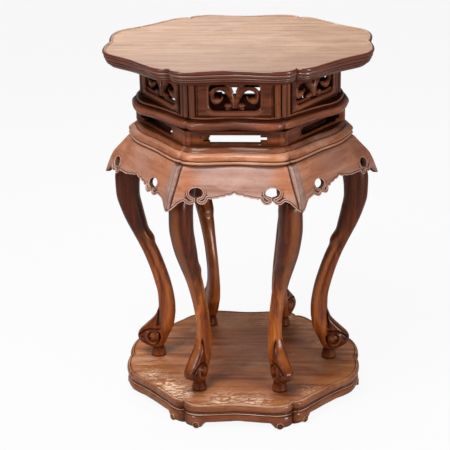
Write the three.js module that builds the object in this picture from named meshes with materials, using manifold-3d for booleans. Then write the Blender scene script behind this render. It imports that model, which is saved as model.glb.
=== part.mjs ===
// Six-legged Chinese hardwood side table on a lobed plinth.
// Millimetres, +Z up, floor at z = 0, one side faces the viewer at -Y, two corners lie on the X axis.
import * as THREE from "three";
import { mergeVertices } from "three/addons/utils/BufferGeometryUtils.js";
import Module from "manifold-3d";

const wasm = await Module();
wasm.setup();

// Plan: a hexagon slightly longer across than deep. A tier's radius is its corner distance on the X axis.
const FRONT_CORNER_X = 0.457;
const FRONT_CORNER_Y = 0.866;
const CORNER_NAMES = ["right", "back_right", "back_left", "left", "front_left", "front_right"];
const SIDE_NAMES = ["right_back", "back", "left_back", "left_front", "front", "right_front"];
const FRONT_SIDE = SIDE_NAMES.indexOf("front");

// Fit between neighbouring pieces
const GAP = 0.3;

// Heights of the tiers, from the floor up
const FOOT_HEIGHT = 11;
const RAIL_HEIGHT = 15;
const BASE_BOARD_THICKNESS = 16;
const LEG_HEIGHT = 405.4;
const LOWER_MOULDING_HEIGHT = 24;
const LOWER_WAIST_HEIGHT = 23;
const UPPER_MOULDING_HEIGHT = 22;
const UPPER_WAIST_HEIGHT = 61;
const TOP_THICKNESS = 24;

const railTop = FOOT_HEIGHT + RAIL_HEIGHT;
const baseTop = railTop + GAP + BASE_BOARD_THICKNESS;
const legTop = baseTop + GAP + LEG_HEIGHT;
const lowerMouldingZ = legTop + GAP;
const lowerWaistZ = lowerMouldingZ + LOWER_MOULDING_HEIGHT + GAP;
const upperMouldingZ = lowerWaistZ + LOWER_WAIST_HEIGHT + GAP;
const upperWaistZ = upperMouldingZ + UPPER_MOULDING_HEIGHT + GAP;
const topZ = upperWaistZ + UPPER_WAIST_HEIGHT + GAP;

// The frame's corner radius drives the others: each tier steps in or out from it or from its neighbour
const FRAME_RADIUS = 185;
const FRAME_DEPTH = 43;
const TOP_OVERHANG = 25;
const TOP_UNDERCUT = 13;
const LOWER_WAIST_INSET = 16;
const UPPER_WAIST_INSET = 24;
const UPPER_MOULDING_OUT = 5;
const BASE_REACH = 12;
const RAIL_INSET = 1;
const RAIL_DEPTH = 28;

const frameInnerRadius = FRAME_RADIUS - FRAME_DEPTH;
const topRadius = FRAME_RADIUS + TOP_OVERHANG;
const topUnderRadius = topRadius - TOP_UNDERCUT;
const lowerWaistRadius = FRAME_RADIUS - LOWER_WAIST_INSET;
const upperWaistRadius = FRAME_RADIUS - UPPER_WAIST_INSET;
const upperMouldingRadius = upperWaistRadius + UPPER_MOULDING_OUT;
const baseRadius = FRAME_RADIUS + BASE_REACH;
const railRadius = baseRadius - RAIL_INSET;
const railInnerRadius = railRadius - RAIL_DEPTH;

// Lobes of a side: how far its rounded ears and the hollow between them stand out from the corner line
// The broad ears sit beside the left and right corners, the narrow ones at the other end of those sides,
// the small ones on the front and back; `stretch` moves the left and right corners further out
const TOP_LOBES = { stretch: 0, broad: 40, narrow: 20, small: 21, frontDip: 8, slantDip: 3 };
const UPPER_MOULDING_LOBES = { stretch: 7, broad: 20, narrow: 7, small: 12, frontDip: 7, slantDip: 2 };
const LOWER_MOULDING_LOBES = { stretch: 0, broad: 13, narrow: 6, small: 13, frontDip: 10, slantDip: 2 };
const BASE_LOBES = { stretch: 4, broad: 31, narrow: 14, small: 18, frontDip: 5, slantDip: 2 };
const WAIST_STEP = 7;
const BROAD_REACH = 0.35;
const SMALL_REACH = 0.17;

// Woods
const LIP_TAN = { color: 0xb07a55, roughness: 0.45 };
const RED_BROWN = { color: 0x6e3b24, roughness: 0.36 };
const WAIST_BROWN = { color: 0x7a4328, roughness: 0.4 };
const APRON_TAN = { color: 0xa2694a, roughness: 0.5 };
const LEG_BROWN = { color: 0x5f331f, roughness: 0.35 };
const BASE_BROWN = { color: 0x96603f, roughness: 0.5 };

const group = new THREE.Group();
group.name = "side_table";

// Adds one solid as a named mesh
function addNode(name, solid, wood) {
  const geometry = new THREE.BufferGeometry();
  geometry.setAttribute("position", new THREE.Float32BufferAttribute(solid.positions, 3));
  geometry.setIndex(solid.indices);
  geometry.computeVertexNormals();
  const material = new THREE.MeshStandardMaterial({ ...wood, metalness: 0 });
  const mesh = new THREE.Mesh(geometry, material);
  mesh.name = name;
  group.add(mesh);
}

// Solids to and from the boolean library
function toManifold(solid) {
  return new wasm.Manifold(new wasm.Mesh({
    numProp: 3,
    vertProperties: new Float32Array(solid.positions),
    triVerts: new Uint32Array(solid.indices),
  }));
}

// Cuts leave slivers shorter than this, which are merged away
const SLIVER = 0.02;

function fromManifold(manifold) {
  const mesh = manifold.asOriginal().simplify(SLIVER).getMesh();
  return { positions: Array.from(mesh.vertProperties), indices: Array.from(mesh.triVerts) };
}

function fromGeometry(geometry) {
  const bare = geometry.index ? geometry.toNonIndexed() : geometry.clone();
  bare.deleteAttribute("normal");
  bare.deleteAttribute("uv");
  const merged = mergeVertices(bare, 1e-4);
  return { positions: Array.from(merged.attributes.position.array), indices: Array.from(merged.index.array) };
}

// Skins a closed solid over equal-length closed loops, each with flat ends triangulated from its outline
function skin(loops, capOutline) {
  const count = loops[0].length;
  const positions = loops.flat(2);
  const indices = [];
  for (let i = 0; i + 1 < loops.length; i += 1) {
    for (let j = 0; j < count; j += 1) {
      const a = i * count + j;
      const b = i * count + ((j + 1) % count);
      indices.push(a, b, b + count, a, b + count, a + count);
    }
  }
  const contour = capOutline.map(([x, y]) => new THREE.Vector2(x, y));
  const last = (loops.length - 1) * count;
  const clockwise = THREE.ShapeUtils.area(contour) < 0;
  for (const triangle of THREE.ShapeUtils.triangulateShape(contour, [])) {
    const [a, b, c] = clockwise ? [...triangle].reverse() : triangle;
    indices.push(c, b, a);
    indices.push(last + a, last + b, last + c);
  }
  return { positions, indices };
}

// Turns a solid inside out when its volume comes out negative
function facingOut(solid) {
  const { positions: p, indices } = solid;
  let volume = 0;
  for (let i = 0; i < indices.length; i += 3) {
    const [a, b, c] = [indices[i] * 3, indices[i + 1] * 3, indices[i + 2] * 3];
    volume += p[a] * (p[b + 1] * p[c + 2] - p[b + 2] * p[c + 1]);
    volume += p[a + 1] * (p[b + 2] * p[c] - p[b] * p[c + 2]);
    volume += p[a + 2] * (p[b] * p[c + 1] - p[b + 1] * p[c]);
  }
  if (volume < 0) {
    for (let i = 0; i < indices.length; i += 3) {
      [indices[i + 1], indices[i + 2]] = [indices[i + 2], indices[i + 1]];
    }
  }
  return solid;
}

// Plan helpers
function corner(k) {
  const signs = [[1, 0], [1, 1], [-1, 1], [-1, 0], [-1, -1], [1, -1]][((k % 6) + 6) % 6];
  const x = signs[1] === 0 ? signs[0] : signs[0] * FRONT_CORNER_X;
  return new THREE.Vector2(x, signs[1] * FRONT_CORNER_Y);
}

function sideNormal(k) {
  const along = corner(k + 1).sub(corner(k)).normalize();
  return new THREE.Vector2(along.y, -along.x);
}

// The left and right corners have broad ears beside them
const isPoint = (k) => k % 3 === 0;

// Distance that side k's lobed line stands out at t, from 0 at one corner to 1 at the next
function lobe(k, t, lobes) {
  const slanted = isPoint(k) || isPoint(k + 1);
  const end = (n) => {
    if (isPoint(n)) {
      return [lobes.broad, BROAD_REACH];
    }
    return [slanted ? lobes.narrow : lobes.small, SMALL_REACH];
  };
  const rise = (ear, reach, along) => {
    const share = along / reach;
    return reach === BROAD_REACH
      ? ear * Math.sin((Math.PI / 2) * share)
      : ear * Math.sqrt(Math.max(0, 1 - (1 - share) ** 2));
  };
  const [startEar, startReach] = end(k);
  const [endEar, endReach] = end(k + 1);
  if (t < startReach) {
    return rise(startEar, startReach, t);
  }
  if (t > 1 - endReach) {
    return rise(endEar, endReach, 1 - t);
  }
  const share = (t - startReach) / (1 - startReach - endReach);
  const dip = slanted ? lobes.slantDip : lobes.frontDip;
  return startEar + (endEar - startEar) * share - (dip * (1 - Math.cos(2 * Math.PI * share))) / 2;
}

function cornerAt(k, radius, stretch) {
  return corner(k).multiplyScalar(isPoint(k) ? radius + stretch : radius);
}

function sidePoint(k, t, radius, stretch, offset) {
  const line = cornerAt(k, radius, stretch).lerp(cornerAt(k + 1, radius, stretch), t);
  return line.addScaledVector(sideNormal(k), offset);
}

// Places along a side, closer together beside each corner
function sideSteps(count) {
  return Array.from({ length: count + 1 }, (_, i) => {
    const even = i / count;
    return even - (0.6 * Math.sin(2 * Math.PI * even)) / (2 * Math.PI);
  });
}

// A mitred length along side k, from its closed section of [radius, z] points
// `place` gives the plan point at a step from 0 to 1 and a radius
function sideLengthOf(k, section, place, steps) {
  const inset = GAP / 2 / (corner(k + 1).distanceTo(corner(k)) * frameInnerRadius);
  const loops = steps.map((step) => {
    const t = inset + step * (1 - 2 * inset);
    return section.map(([radius, z]) => {
      const p = place(t, radius);
      return [p.x, p.y, z];
    });
  });
  return facingOut(skin(loops, section));
}

const lobedLength = (k, section, lobes, count) => sideLengthOf(k, section,
  (t, radius) => sidePoint(k, t, radius, lobes.stretch, lobe(k, t, lobes)), sideSteps(count));

// A lobed board, from its edge profile of [radius, z] points listed from the top face to the under face
function lobedBoard(profile, lobes, count) {
  const steps = sideSteps(count).slice(0, -1);
  const loops = profile.map(([radius, z]) =>
    SIDE_NAMES.flatMap((_, k) => steps.map((t) => {
      const p = sidePoint(k, t, radius, lobes.stretch, lobe(k, t, lobes));
      return [p.x, p.y, z];
    })));
  return facingOut(skin(loops, loops[0].map(([x, y]) => [x, y])));
}

// Points of a rounded bead on a section, bulging by `out` between two heights
function bead(radius, out, zLow, zHigh, count) {
  return Array.from({ length: count + 1 }, (_, i) => {
    const angle = Math.PI * (i / count);
    const z = (zLow + zHigh) / 2 - (Math.cos(angle) * (zHigh - zLow)) / 2;
    return [radius + out * Math.sin(angle), z];
  });
}

// A straight prism across side k between two distances from the axis
// Its outline is [distance from the middle of the side at that radius, height]
function sidePrism(k, radius, outline, near, far) {
  const shape = new THREE.Shape(outline.map(([s, z]) => new THREE.Vector2(s, z)));
  const geometry = new THREE.ExtrudeGeometry(shape, { depth: far - near, bevelEnabled: false });
  const normal = sideNormal(k);
  const along = new THREE.Vector3(-normal.y, normal.x, 0);
  const out = new THREE.Vector3(normal.x, normal.y, 0);
  const basis = new THREE.Matrix4().makeBasis(along, new THREE.Vector3(0, 0, 1), out);
  const middle = corner(k).lerp(corner(k + 1), 0.5).dot(new THREE.Vector2(along.x, along.y)) * radius;
  basis.setPosition(out.clone().multiplyScalar(near).addScaledVector(along, middle));
  geometry.applyMatrix4(basis);
  return toManifold(facingOut(fromGeometry(geometry)));
}

// Distances from the axis between which a cut across one side runs
const CUT_REACH = [FRAME_RADIUS / 3, FRAME_RADIUS * 1.3];

// Splits a board into planks that run along X
function planks(board, names, halfDepth, low, high, wood) {
  const width = (2 * halfDepth) / names.length;
  const whole = toManifold(board);
  names.forEach((name, i) => {
    const y0 = -halfDepth + i * width + GAP / 2;
    const y1 = y0 + width - GAP;
    const box = new THREE.BoxGeometry(4 * halfDepth, y1 - y0, high - low);
    box.translate(0, (y0 + y1) / 2, (low + high) / 2);
    addNode(name, fromManifold(whole.intersect(toManifold(fromGeometry(box)))), wood);
  });
}

// Table top: dished inside a thin lip, with three reeds on its edge
const LIP = { width: 5, depth: 1.6 };
const REED = { height: 5.6, out: 2.6, step: 2 };
const TOP_STEPS = 10;
const topSurface = topZ + TOP_THICKNESS;
const reeds = [0, 1, 2].flatMap((i) => {
  const high = topSurface - i * (REED.height + 0.6);
  const back = topRadius - REED.out - i * REED.step;
  return bead(back, REED.out, high - REED.height, high, 3).reverse();
});
const topProfile = [
  [topRadius - LIP.width - 1, topSurface - LIP.depth],
  [topRadius - LIP.width, topSurface],
  ...reeds,
  [topUnderRadius, topZ + 2],
  [topUnderRadius - 3, topZ],
];
const topBoard = lobedBoard(topProfile, TOP_LOBES, TOP_STEPS);
const topHalfDepth = topRadius * FRONT_CORNER_Y + TOP_LOBES.broad;
planks(topBoard, ["top_plank_front", "top_plank_middle", "top_plank_back"],
  topHalfDepth, topZ - 1, topSurface + 1, LIP_TAN);

// Two battens under the planks
const BATTEN = { width: 26, height: 12, length: 210, spacing: 110 };
for (const [side, name] of [[-1, "batten_left"], [1, "batten_right"]]) {
  const box = new THREE.BoxGeometry(BATTEN.width, BATTEN.length, BATTEN.height);
  box.translate((side * BATTEN.spacing) / 2, 0, topZ - GAP - BATTEN.height / 2);
  addNode(name, fromGeometry(box), RED_BROWN);
}

// Upper waist: pierced panels between corner posts
const PANEL_THICKNESS = 12;
const POST_REACH = 15;
const OPENING = { margin: 36.5, height: 40, radius: 8, rise: 12.5 };
const FRET = { back: 1, front: 2.5 };

function roundedRectangle(width, height, radius, z0) {
  const points = [];
  const centres = [[1, 1], [-1, 1], [-1, -1], [1, -1]];
  centres.forEach(([sx, sz], quarter) => {
    for (let i = 0; i <= 3; i += 1) {
      const angle = (quarter + i / 3) * (Math.PI / 2);
      points.push([
        sx * (width / 2 - radius) + radius * Math.cos(angle),
        z0 + height / 2 + sz * (height / 2 - radius) + radius * Math.sin(angle),
      ]);
    }
  });
  return points;
}

function ellipse(width, height, s0, z0, count) {
  return Array.from({ length: count }, (_, i) => {
    const angle = (i / count) * 2 * Math.PI;
    return [s0 + (width / 2) * Math.cos(angle), z0 + (height / 2) * Math.sin(angle)];
  });
}

// Outline of a band that follows a line of [s, z, width] points
function bandOutline(line) {
  const left = [];
  const right = [];
  line.forEach(([s, z, width], i) => {
    const before = line[Math.max(0, i - 1)];
    const after = line[Math.min(line.length - 1, i + 1)];
    const along = new THREE.Vector2(after[0] - before[0], after[1] - before[1]).normalize();
    left.push([s - (along.y * width) / 2, z + (along.x * width) / 2]);
    right.push([s + (along.y * width) / 2, z - (along.x * width) / 2]);
  });
  return [...left, ...right.reverse()];
}

// Fretwork of one half of the opening, measured from the middle of its lower edge, widths last:
// a stem that swings out over a large scroll and curls into a round eye, and a small scroll at the foot
// The slanted sides' openings are wider, and their fretwork is stretched to suit
const SCROLL_LINE = [
  [1.5, 3, 5], [2.5, 11, 5], [5.5, 18, 5.5], [10, 24.5, 6.5], [16, 29.5, 6.5],
  [23.5, 31, 6.2], [29.5, 28.5, 6.2], [32.5, 22.5, 6.4], [31.5, 16.5, 6.6], [27.5, 12.5, 7],
];
const SCROLL_EYE = { s: 24, z: 13.5, width: 11, height: 10 };
const FOOT_SCROLL = { s: 8.5, z: 4.5, width: 14, height: 9.5 };
const FRET_TIES = [
  [[9, 27, 4], [8, 34, 4.5], [8, 41, 5]],
  [[31, 20, 4.5], [38, 20, 4.5]],
  [[8, 3, 8], [8, -1, 9]],
];

const waistFace = (k) => sideNormal(k).dot(corner(k)) * upperWaistRadius + WAIST_STEP;
const sideLength = (k, radius) => corner(k).distanceTo(corner(k + 1)) * radius;

SIDE_NAMES.forEach((name, k) => {
  const face = waistFace(k);
  const half = sideLength(k, upperWaistRadius) / 2 - POST_REACH;
  const [low, high] = [upperWaistZ, upperWaistZ + UPPER_WAIST_HEIGHT];
  const outline = [[-half, low], [half, low], [half, high], [-half, high]];
  let panel = sidePrism(k, upperWaistRadius, outline, face - PANEL_THICKNESS, face);
  const openingZ = low + OPENING.rise;
  const openingWidth = (side) => sideLength(side, upperWaistRadius) - 2 * OPENING.margin;
  const stretch = openingWidth(k) / openingWidth(FRONT_SIDE);
  const hole = roundedRectangle(openingWidth(k), OPENING.height, OPENING.radius, openingZ);
  panel = panel.subtract(sidePrism(k, upperWaistRadius, hole, face - PANEL_THICKNESS - 1, face + 1));
  const fret = (points) => sidePrism(k, upperWaistRadius, points.map(([s, z]) => [s, openingZ + z]),
    face - PANEL_THICKNESS + FRET.back, face - FRET.front);
  for (const side of [-1, 1]) {
    const mirrored = (line) => line.map(([s, z, width]) => [side * stretch * s, z, width]);
    panel = panel.add(fret(bandOutline(mirrored(SCROLL_LINE))));
    for (const { s, z, width, height } of [SCROLL_EYE, FOOT_SCROLL]) {
      panel = panel.add(fret(ellipse(width * stretch, height, side * stretch * s, z, 9)));
    }
    for (const tie of FRET_TIES) {
      panel = panel.add(fret(bandOutline(mirrored(tie))));
    }
  }
  addNode(`upper_panel_${name}`, fromManifold(panel), WAIST_BROWN);
});

// Corner posts: two flat strips that meet in a groove on the corner
const POST = { groove: 2, strip: 9, sink: 2, backing: 5 };
CORNER_NAMES.forEach((name, k) => {
  const reach = POST_REACH - GAP;
  const outward = corner(k).normalize();
  const tip = corner(k).multiplyScalar(upperWaistRadius);
  const halfOutline = (towards, side) => {
    const along = corner(towards).sub(corner(k)).normalize();
    const at = (s, out) => tip.clone().addScaledVector(along, s).addScaledVector(sideNormal(side), out);
    const flat = WAIST_STEP - 0.5;
    const sunk = WAIST_STEP - POST.sink;
    const cornerStart = POST.groove - (WAIST_STEP * outward.dot(along)) / 2;
    return [
      at(reach, WAIST_STEP - PANEL_THICKNESS), at(reach, sunk), at(POST.groove + POST.strip + 1, sunk),
      at(POST.groove + POST.strip, flat), at(cornerStart, flat), at(POST.groove, sunk - 1),
    ];
  };
  const before = halfOutline(k - 1, k - 1);
  const after = halfOutline(k + 1, k).reverse();
  const notch = tip.clone().addScaledVector(outward, WAIST_STEP - POST.sink);
  const back = tip.clone().addScaledVector(outward, -POST.backing - POST.sink);
  const plan = [...before, notch, ...after, back];
  const heights = [upperWaistZ, upperWaistZ + UPPER_WAIST_HEIGHT];
  const loops = heights.map((z) => plan.map((p) => [p.x, p.y, z]));
  addNode(`corner_post_${name}`, facingOut(skin(loops, plan.map((p) => [p.x, p.y]))), WAIST_BROWN);
});

// Mouldings and the lower waist
const MOULDING_STEPS = 8;
const upperMouldingTop = upperMouldingZ + UPPER_MOULDING_HEIGHT;
const upperMouldingSection = [
  [frameInnerRadius, upperMouldingZ],
  [upperMouldingRadius - 9, upperMouldingZ],
  ...bead(upperMouldingRadius - 8, 8, upperMouldingZ + 1, upperMouldingTop - 3, 6),
  [upperWaistRadius - 6, upperMouldingTop],
  [frameInnerRadius, upperMouldingTop],
];
const lowerWaistTop = lowerWaistZ + LOWER_WAIST_HEIGHT;
const LOWER_WAIST_THICKNESS = 10;
const lowerWaistSection = [
  [lowerWaistRadius - LOWER_WAIST_THICKNESS, lowerWaistZ],
  [lowerWaistRadius, lowerWaistZ],
  [lowerWaistRadius, lowerWaistTop],
  [lowerWaistRadius - LOWER_WAIST_THICKNESS, lowerWaistTop],
];
const LOWER_BEAD_HEIGHT = 8;
const lowerBeadTop = lowerMouldingZ + LOWER_BEAD_HEIGHT;
const lowerMouldingTop = lowerMouldingZ + LOWER_MOULDING_HEIGHT;
const lowerMouldingSection = [
  [frameInnerRadius, lowerMouldingZ],
  ...bead(FRAME_RADIUS - 4, 4, lowerMouldingZ, lowerBeadTop, 4),
  [FRAME_RADIUS - 4.5, lowerBeadTop + 1],
  [FRAME_RADIUS - 3, lowerBeadTop + 4],
  [FRAME_RADIUS - 4.5, lowerBeadTop + 8],
  [FRAME_RADIUS - 9, lowerBeadTop + 12],
  [FRAME_RADIUS - 14, lowerMouldingTop - 2],
  [FRAME_RADIUS - 16, lowerMouldingTop],
  [frameInnerRadius, lowerMouldingTop],
];

// Long slot with a narrow step at each end through each side of the lower waist
const SLOT = { length: 78, height: 13, rise: 4, stepLength: 10, stepHeight: 6.5 };
function slotOutline(z0) {
  const half = SLOT.length / 2;
  const [low, high] = [(SLOT.height - SLOT.stepHeight) / 2, (SLOT.height + SLOT.stepHeight) / 2];
  const right = [[half, 0], [half, low], [half + SLOT.stepLength, low],
    [half + SLOT.stepLength, high], [half, high], [half, SLOT.height]];
  const left = right.map(([s, z]) => [-s, z]).reverse();
  return [...right, ...left].map(([s, z]) => [s, z0 + z]);
}

// Apron: a flared board with a rounded ridge on each corner, a carved lower edge and two pierced ruyi heads
const APRON = { thickness: 8, drop: 63, reach: 39.5, flare: 0.66, sectionSteps: 6 };
const apronTipRadius = FRAME_RADIUS + APRON.reach;
const APRON_RIDGE = { out: 3.5, halfWidth: 11 };
const APRON_LOBES = { stretch: 0, broad: 9, narrow: 1, small: 1, frontDip: 0, slantDip: 0 };
const APRON_STEPS = [0, 0.02, 0.04, 0.06, 0.18, 0.35, 0.65, 0.82, 0.94, 0.96, 0.98, 1];
const apronTipZ = legTop - APRON.drop;
const apronRadius = (drop) => FRAME_RADIUS + APRON.reach * (drop / APRON.drop) ** APRON.flare;

function apronSection() {
  const steps = Array.from({ length: APRON.sectionSteps + 1 }, (_, i) => i / APRON.sectionSteps);
  const drops = steps.map((share) => APRON.drop * share ** 1.3);
  const outer = drops.map((drop) => [apronRadius(drop), legTop - drop]);
  const inner = drops.map((drop) => [apronRadius(drop) - APRON.thickness, legTop - drop]).reverse();
  return [...outer, ...inner];
}

// The ridge swells outwards from the corner line, so that both sides of a mitre meet
function apronPoint(k, t, radius) {
  const nearest = t < 0.5 ? k : k + 1;
  const outward = corner(nearest).normalize();
  const length = sideLength(k, FRAME_RADIUS + APRON.reach / 2);
  const share = Math.min(1, (Math.min(t, 1 - t) * length) / APRON_RIDGE.halfWidth);
  const swell = (APRON_RIDGE.out * Math.cos((share * Math.PI) / 2)) / outward.dot(sideNormal(k));
  return sidePoint(k, t, radius, 0, lobe(k, t, APRON_LOBES)).addScaledVector(outward, swell);
}

// Ruyi heads: distance in from the corner, on the front and back, and on the slanted sides at either end
const RUYI = {
  inset: 44.5, broadInset: 38, narrowInset: 56,
  width: 19, height: 13, rise: 25.5, slit: 1.8,
};
const ruyiInset = (k, end) => {
  const slanted = isPoint(k) || isPoint(k + 1);
  if (!slanted) {
    return RUYI.inset;
  }
  return isPoint(k + end) ? RUYI.broadInset : RUYI.narrowInset;
};

// Lower edge as [distance, height above the tips]: from the corner inwards, then around a ruyi head's
// middle, then across the middle of the side
const TIP_EDGE = [[-4, 0], [0, 0], [9, 4], [18, 11]];
const HEAD_EDGE = [
  [20, 12.5], [17.5, 12], [14, 9.5], [8.5, 8.5], [3.5, 9.5], [1, 12],
  [-1, 12], [-3.5, 9.5], [-8.5, 8.5], [-14, 10], [-17.5, 14], [-20, 19], [-27, 20.5],
];
const MIDDLE_EDGE = [[26, 22], [22, 24], [13, 23.5], [10, 25.5], [3, 25], [0, 27.5]];

// Half of the lower edge, from the corner at one end (0 for the first, 1 for the next) to the middle
function apronHalfEdge(k, end) {
  const half = sideLength(k, apronTipRadius) / 2;
  const headAt = half - ruyiInset(k, end);
  const widen = half / (sideLength(FRONT_SIDE, apronTipRadius) / 2);
  return [
    ...TIP_EDGE.map(([inset, z]) => [half - inset, z]),
    ...HEAD_EDGE.map(([s, z]) => [headAt + s, z]),
    ...MIDDLE_EDGE.filter(([s]) => s * widen < headAt - 28).map(([s, z]) => [s * widen, z]),
  ].map(([s, z]) => [s, apronTipZ + z]);
}

function apronCutter(k) {
  const right = apronHalfEdge(k, 1);
  const left = apronHalfEdge(k, 0).slice(0, -1).map(([s, z]) => [-s, z]).reverse();
  const low = apronTipZ - 20;
  const end = right[0][0];
  return [[-end, low], [end, low], ...right, ...left];
}

SIDE_NAMES.forEach((name, k) => {
  addNode(`upper_moulding_${name}`,
    lobedLength(k, upperMouldingSection, UPPER_MOULDING_LOBES, MOULDING_STEPS), RED_BROWN);
  addNode(`lower_moulding_${name}`,
    lobedLength(k, lowerMouldingSection, LOWER_MOULDING_LOBES, MOULDING_STEPS), APRON_TAN);
  const flatPlace = (t, radius) => sidePoint(k, t, radius, 0, 0);
  const waist = toManifold(sideLengthOf(k, lowerWaistSection, flatPlace, [0, 1]));
  const slot = sidePrism(k, lowerWaistRadius, slotOutline(lowerWaistZ + SLOT.rise), ...CUT_REACH);
  addNode(`lower_waist_${name}`, fromManifold(waist.subtract(slot)), WAIST_BROWN);
  const ridgedPlace = (t, radius) => apronPoint(k, t, radius);
  let apron = toManifold(sideLengthOf(k, apronSection(), ridgedPlace, APRON_STEPS));
  apron = apron.subtract(sidePrism(k, apronTipRadius, apronCutter(k), ...CUT_REACH));
  for (const [side, end] of [[-1, 0], [1, 1]]) {
    const headAt = sideLength(k, apronTipRadius) / 2 - ruyiInset(k, end);
    const [s0, z0] = [side * headAt, apronTipZ + RUYI.rise];
    const slit = [[s0 - RUYI.slit / 2, apronTipZ], [s0 + RUYI.slit / 2, apronTipZ],
      [s0 + RUYI.slit / 2, z0], [s0 - RUYI.slit / 2, z0]];
    for (const opening of [ellipse(RUYI.width, RUYI.height, s0, z0, 14), slit]) {
      apron = apron.subtract(sidePrism(k, apronTipRadius, opening, ...CUT_REACH));
    }
  }
  addNode(`apron_${name}`, fromManifold(apron), APRON_TAN);
});

// Legs: an S curve in the corner's upright plane, from the waist down to a scrolled foot on a pad
// Each row: share of the leg's height, how far out the outer and inner faces stand from the frame's corner
// radius, and the width across
const LEG_ROWS = [
  [1, -15, -37, 25],
  [0.9373, 1, -34, 29],
  [0.8757, 15, -27, 32],
  [0.814, 22.5, -19, 34],
  [0.74, 21.6, -17, 35.5],
  [0.6808, 15.5, -21, 35.5],
  [0.6216, 6.5, -26, 34.5],
  [0.5821, -1, -30, 32],
  [0.5451, -8, -38.5, 30],
  [0.518, -13, -40, 26.5],
  [0.4859, -18.5, -45.5, 24],
  [0.4144, -28.5, -55.5, 20],
  [0.3453, -36.2, -63.5, 18.5],
  [0.2837, -41, -68.2, 18.5],
  [0.2343, -41.5, -70, 19.5],
  [0.2097, -39, -70, 20.5],
  [0.1825, -34, -69, 22],
  [0.1357, -16, -65.5, 25],
  [0.1159, -8, -62, 26],
  [0.0913, -4, -57, 27],
  [0.0715, -6, -53.5, 27],
  [0.0543, -14, -50.5, 26],
  [0.0395, -23, -47, 23],
];
// Round bosses of the foot's two scrolls, placed from the frame's corner radius too
const FOOT_BOSSES = [
  { out: -27, rise: 32, radius: 13.5, width: 31 },
  { out: -12.5, rise: 38, radius: 8, width: 22 },
];
// The legs at the left and right corners stand a little further out
const POINT_LEG_SCALE = 1.02;
const PAD = { radius: 12.5, edge: 2, neck: 8, height: 18, sink: 6, out: -37 };
const LEG_SECTION_POINTS = 10;

function legSection(outer, inner, width, count) {
  return Array.from({ length: count }, (_, i) => {
    const angle = (i / count) * 2 * Math.PI;
    const soften = (value) => Math.sign(value) * Math.abs(value) ** 0.75;
    const radial = (outer + inner) / 2 + ((outer - inner) / 2) * soften(Math.cos(angle));
    return [radial, (width / 2) * soften(Math.sin(angle))];
  });
}

function leg(k) {
  const out = corner(k).normalize();
  const across = new THREE.Vector2(-out.y, out.x);
  const scale = isPoint(k) ? POINT_LEG_SCALE : corner(k).length();
  const place = ([radial, side], z) => {
    const p = out.clone().multiplyScalar((FRAME_RADIUS + radial) * scale).addScaledVector(across, side);
    return [p.x, p.y, z];
  };
  const footZ = baseTop + GAP;
  const loops = LEG_ROWS.map(([share, outer, inner, width]) =>
    legSection(outer, inner, width, LEG_SECTION_POINTS).map((q) => place(q, footZ + share * LEG_HEIGHT)));
  const section = legSection(1, 0, 1, LEG_SECTION_POINTS);
  const blade = toManifold(facingOut(skin(loops, section)));
  const padProfile = [
    [0, 0], [PAD.radius - PAD.edge, 0], [PAD.radius, PAD.edge + 1], [PAD.radius - 1, PAD.height * 0.45],
    [PAD.neck, PAD.height * 0.8], [PAD.neck, PAD.height + PAD.sink], [0, PAD.height + PAD.sink],
  ];
  const pad = new THREE.LatheGeometry(padProfile.map(([x, y]) => new THREE.Vector2(x, y)), 12);
  pad.rotateX(Math.PI / 2);
  const [x, y] = place([PAD.out, 0], 0);
  pad.translate(x, y, footZ);
  let whole = blade.add(toManifold(facingOut(fromGeometry(pad))));
  for (const { out: bossOut, rise, radius, width } of FOOT_BOSSES) {
    const boss = new THREE.CylinderGeometry(radius, radius, width, 10);
    boss.rotateZ(Math.atan2(across.y, across.x) - Math.PI / 2);
    const [bossX, bossY] = place([bossOut, 0], 0);
    boss.translate(bossX, bossY, footZ + rise);
    whole = whole.add(toManifold(facingOut(fromGeometry(boss))));
  }
  return fromManifold(whole);
}

CORNER_NAMES.forEach((name, k) => addNode(`leg_${name}`, leg(k), LEG_BROWN));

// Plinth board: rounded edge with an incised line inside it
const BASE_STEPS = 10;
const INCISED_LINE = { inset: 7, halfWidth: 0.6, depth: 0.9 };
const baseProfile = [
  [baseRadius - INCISED_LINE.inset - INCISED_LINE.halfWidth, baseTop],
  [baseRadius - INCISED_LINE.inset, baseTop - INCISED_LINE.depth],
  [baseRadius - INCISED_LINE.inset + INCISED_LINE.halfWidth, baseTop],
  [baseRadius - 3, baseTop - 0.4],
  [baseRadius - 0.5, baseTop - 3],
  [baseRadius, baseTop - 7],
  [baseRadius - 1.5, baseTop - 11],
  [baseRadius - 5, baseTop - 14],
  [baseRadius - 6, baseTop - BASE_BOARD_THICKNESS],
];
const baseBoard = lobedBoard(baseProfile, BASE_LOBES, BASE_STEPS);
const baseHalfDepth = baseRadius * FRONT_CORNER_Y + BASE_LOBES.broad;
planks(baseBoard, ["base_plank_front", "base_plank_middle", "base_plank_back"],
  baseHalfDepth, railTop - 1, baseTop + 1, BASE_BROWN);

// Plinth rails: bead under the board, swelling band and bottom bead, with half of a scroll foot at each end
const railSection = [
  [railInnerRadius, 0],
  [railRadius - 4, 0],
  [railRadius - 1, FOOT_HEIGHT - 3],
  [railRadius, FOOT_HEIGHT + 1],
  [railRadius - 0.5, FOOT_HEIGHT + 6],
  [railRadius - 2, railTop - 4.5],
  ...bead(railRadius - 3, 2.5, railTop - 4, railTop, 2),
  [railInnerRadius, railTop],
];
// Distance of a scroll's middle from its corner, on the front and back sides and on the slanted ones
const SCROLL_FOOT = { frontInset: 17, slantInset: 23, radius: 7.5, rise: 7.5, out: 1, depth: 9 };
const footInset = (k) => (isPoint(k) || isPoint(k + 1) ? SCROLL_FOOT.slantInset : SCROLL_FOOT.frontInset);

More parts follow.
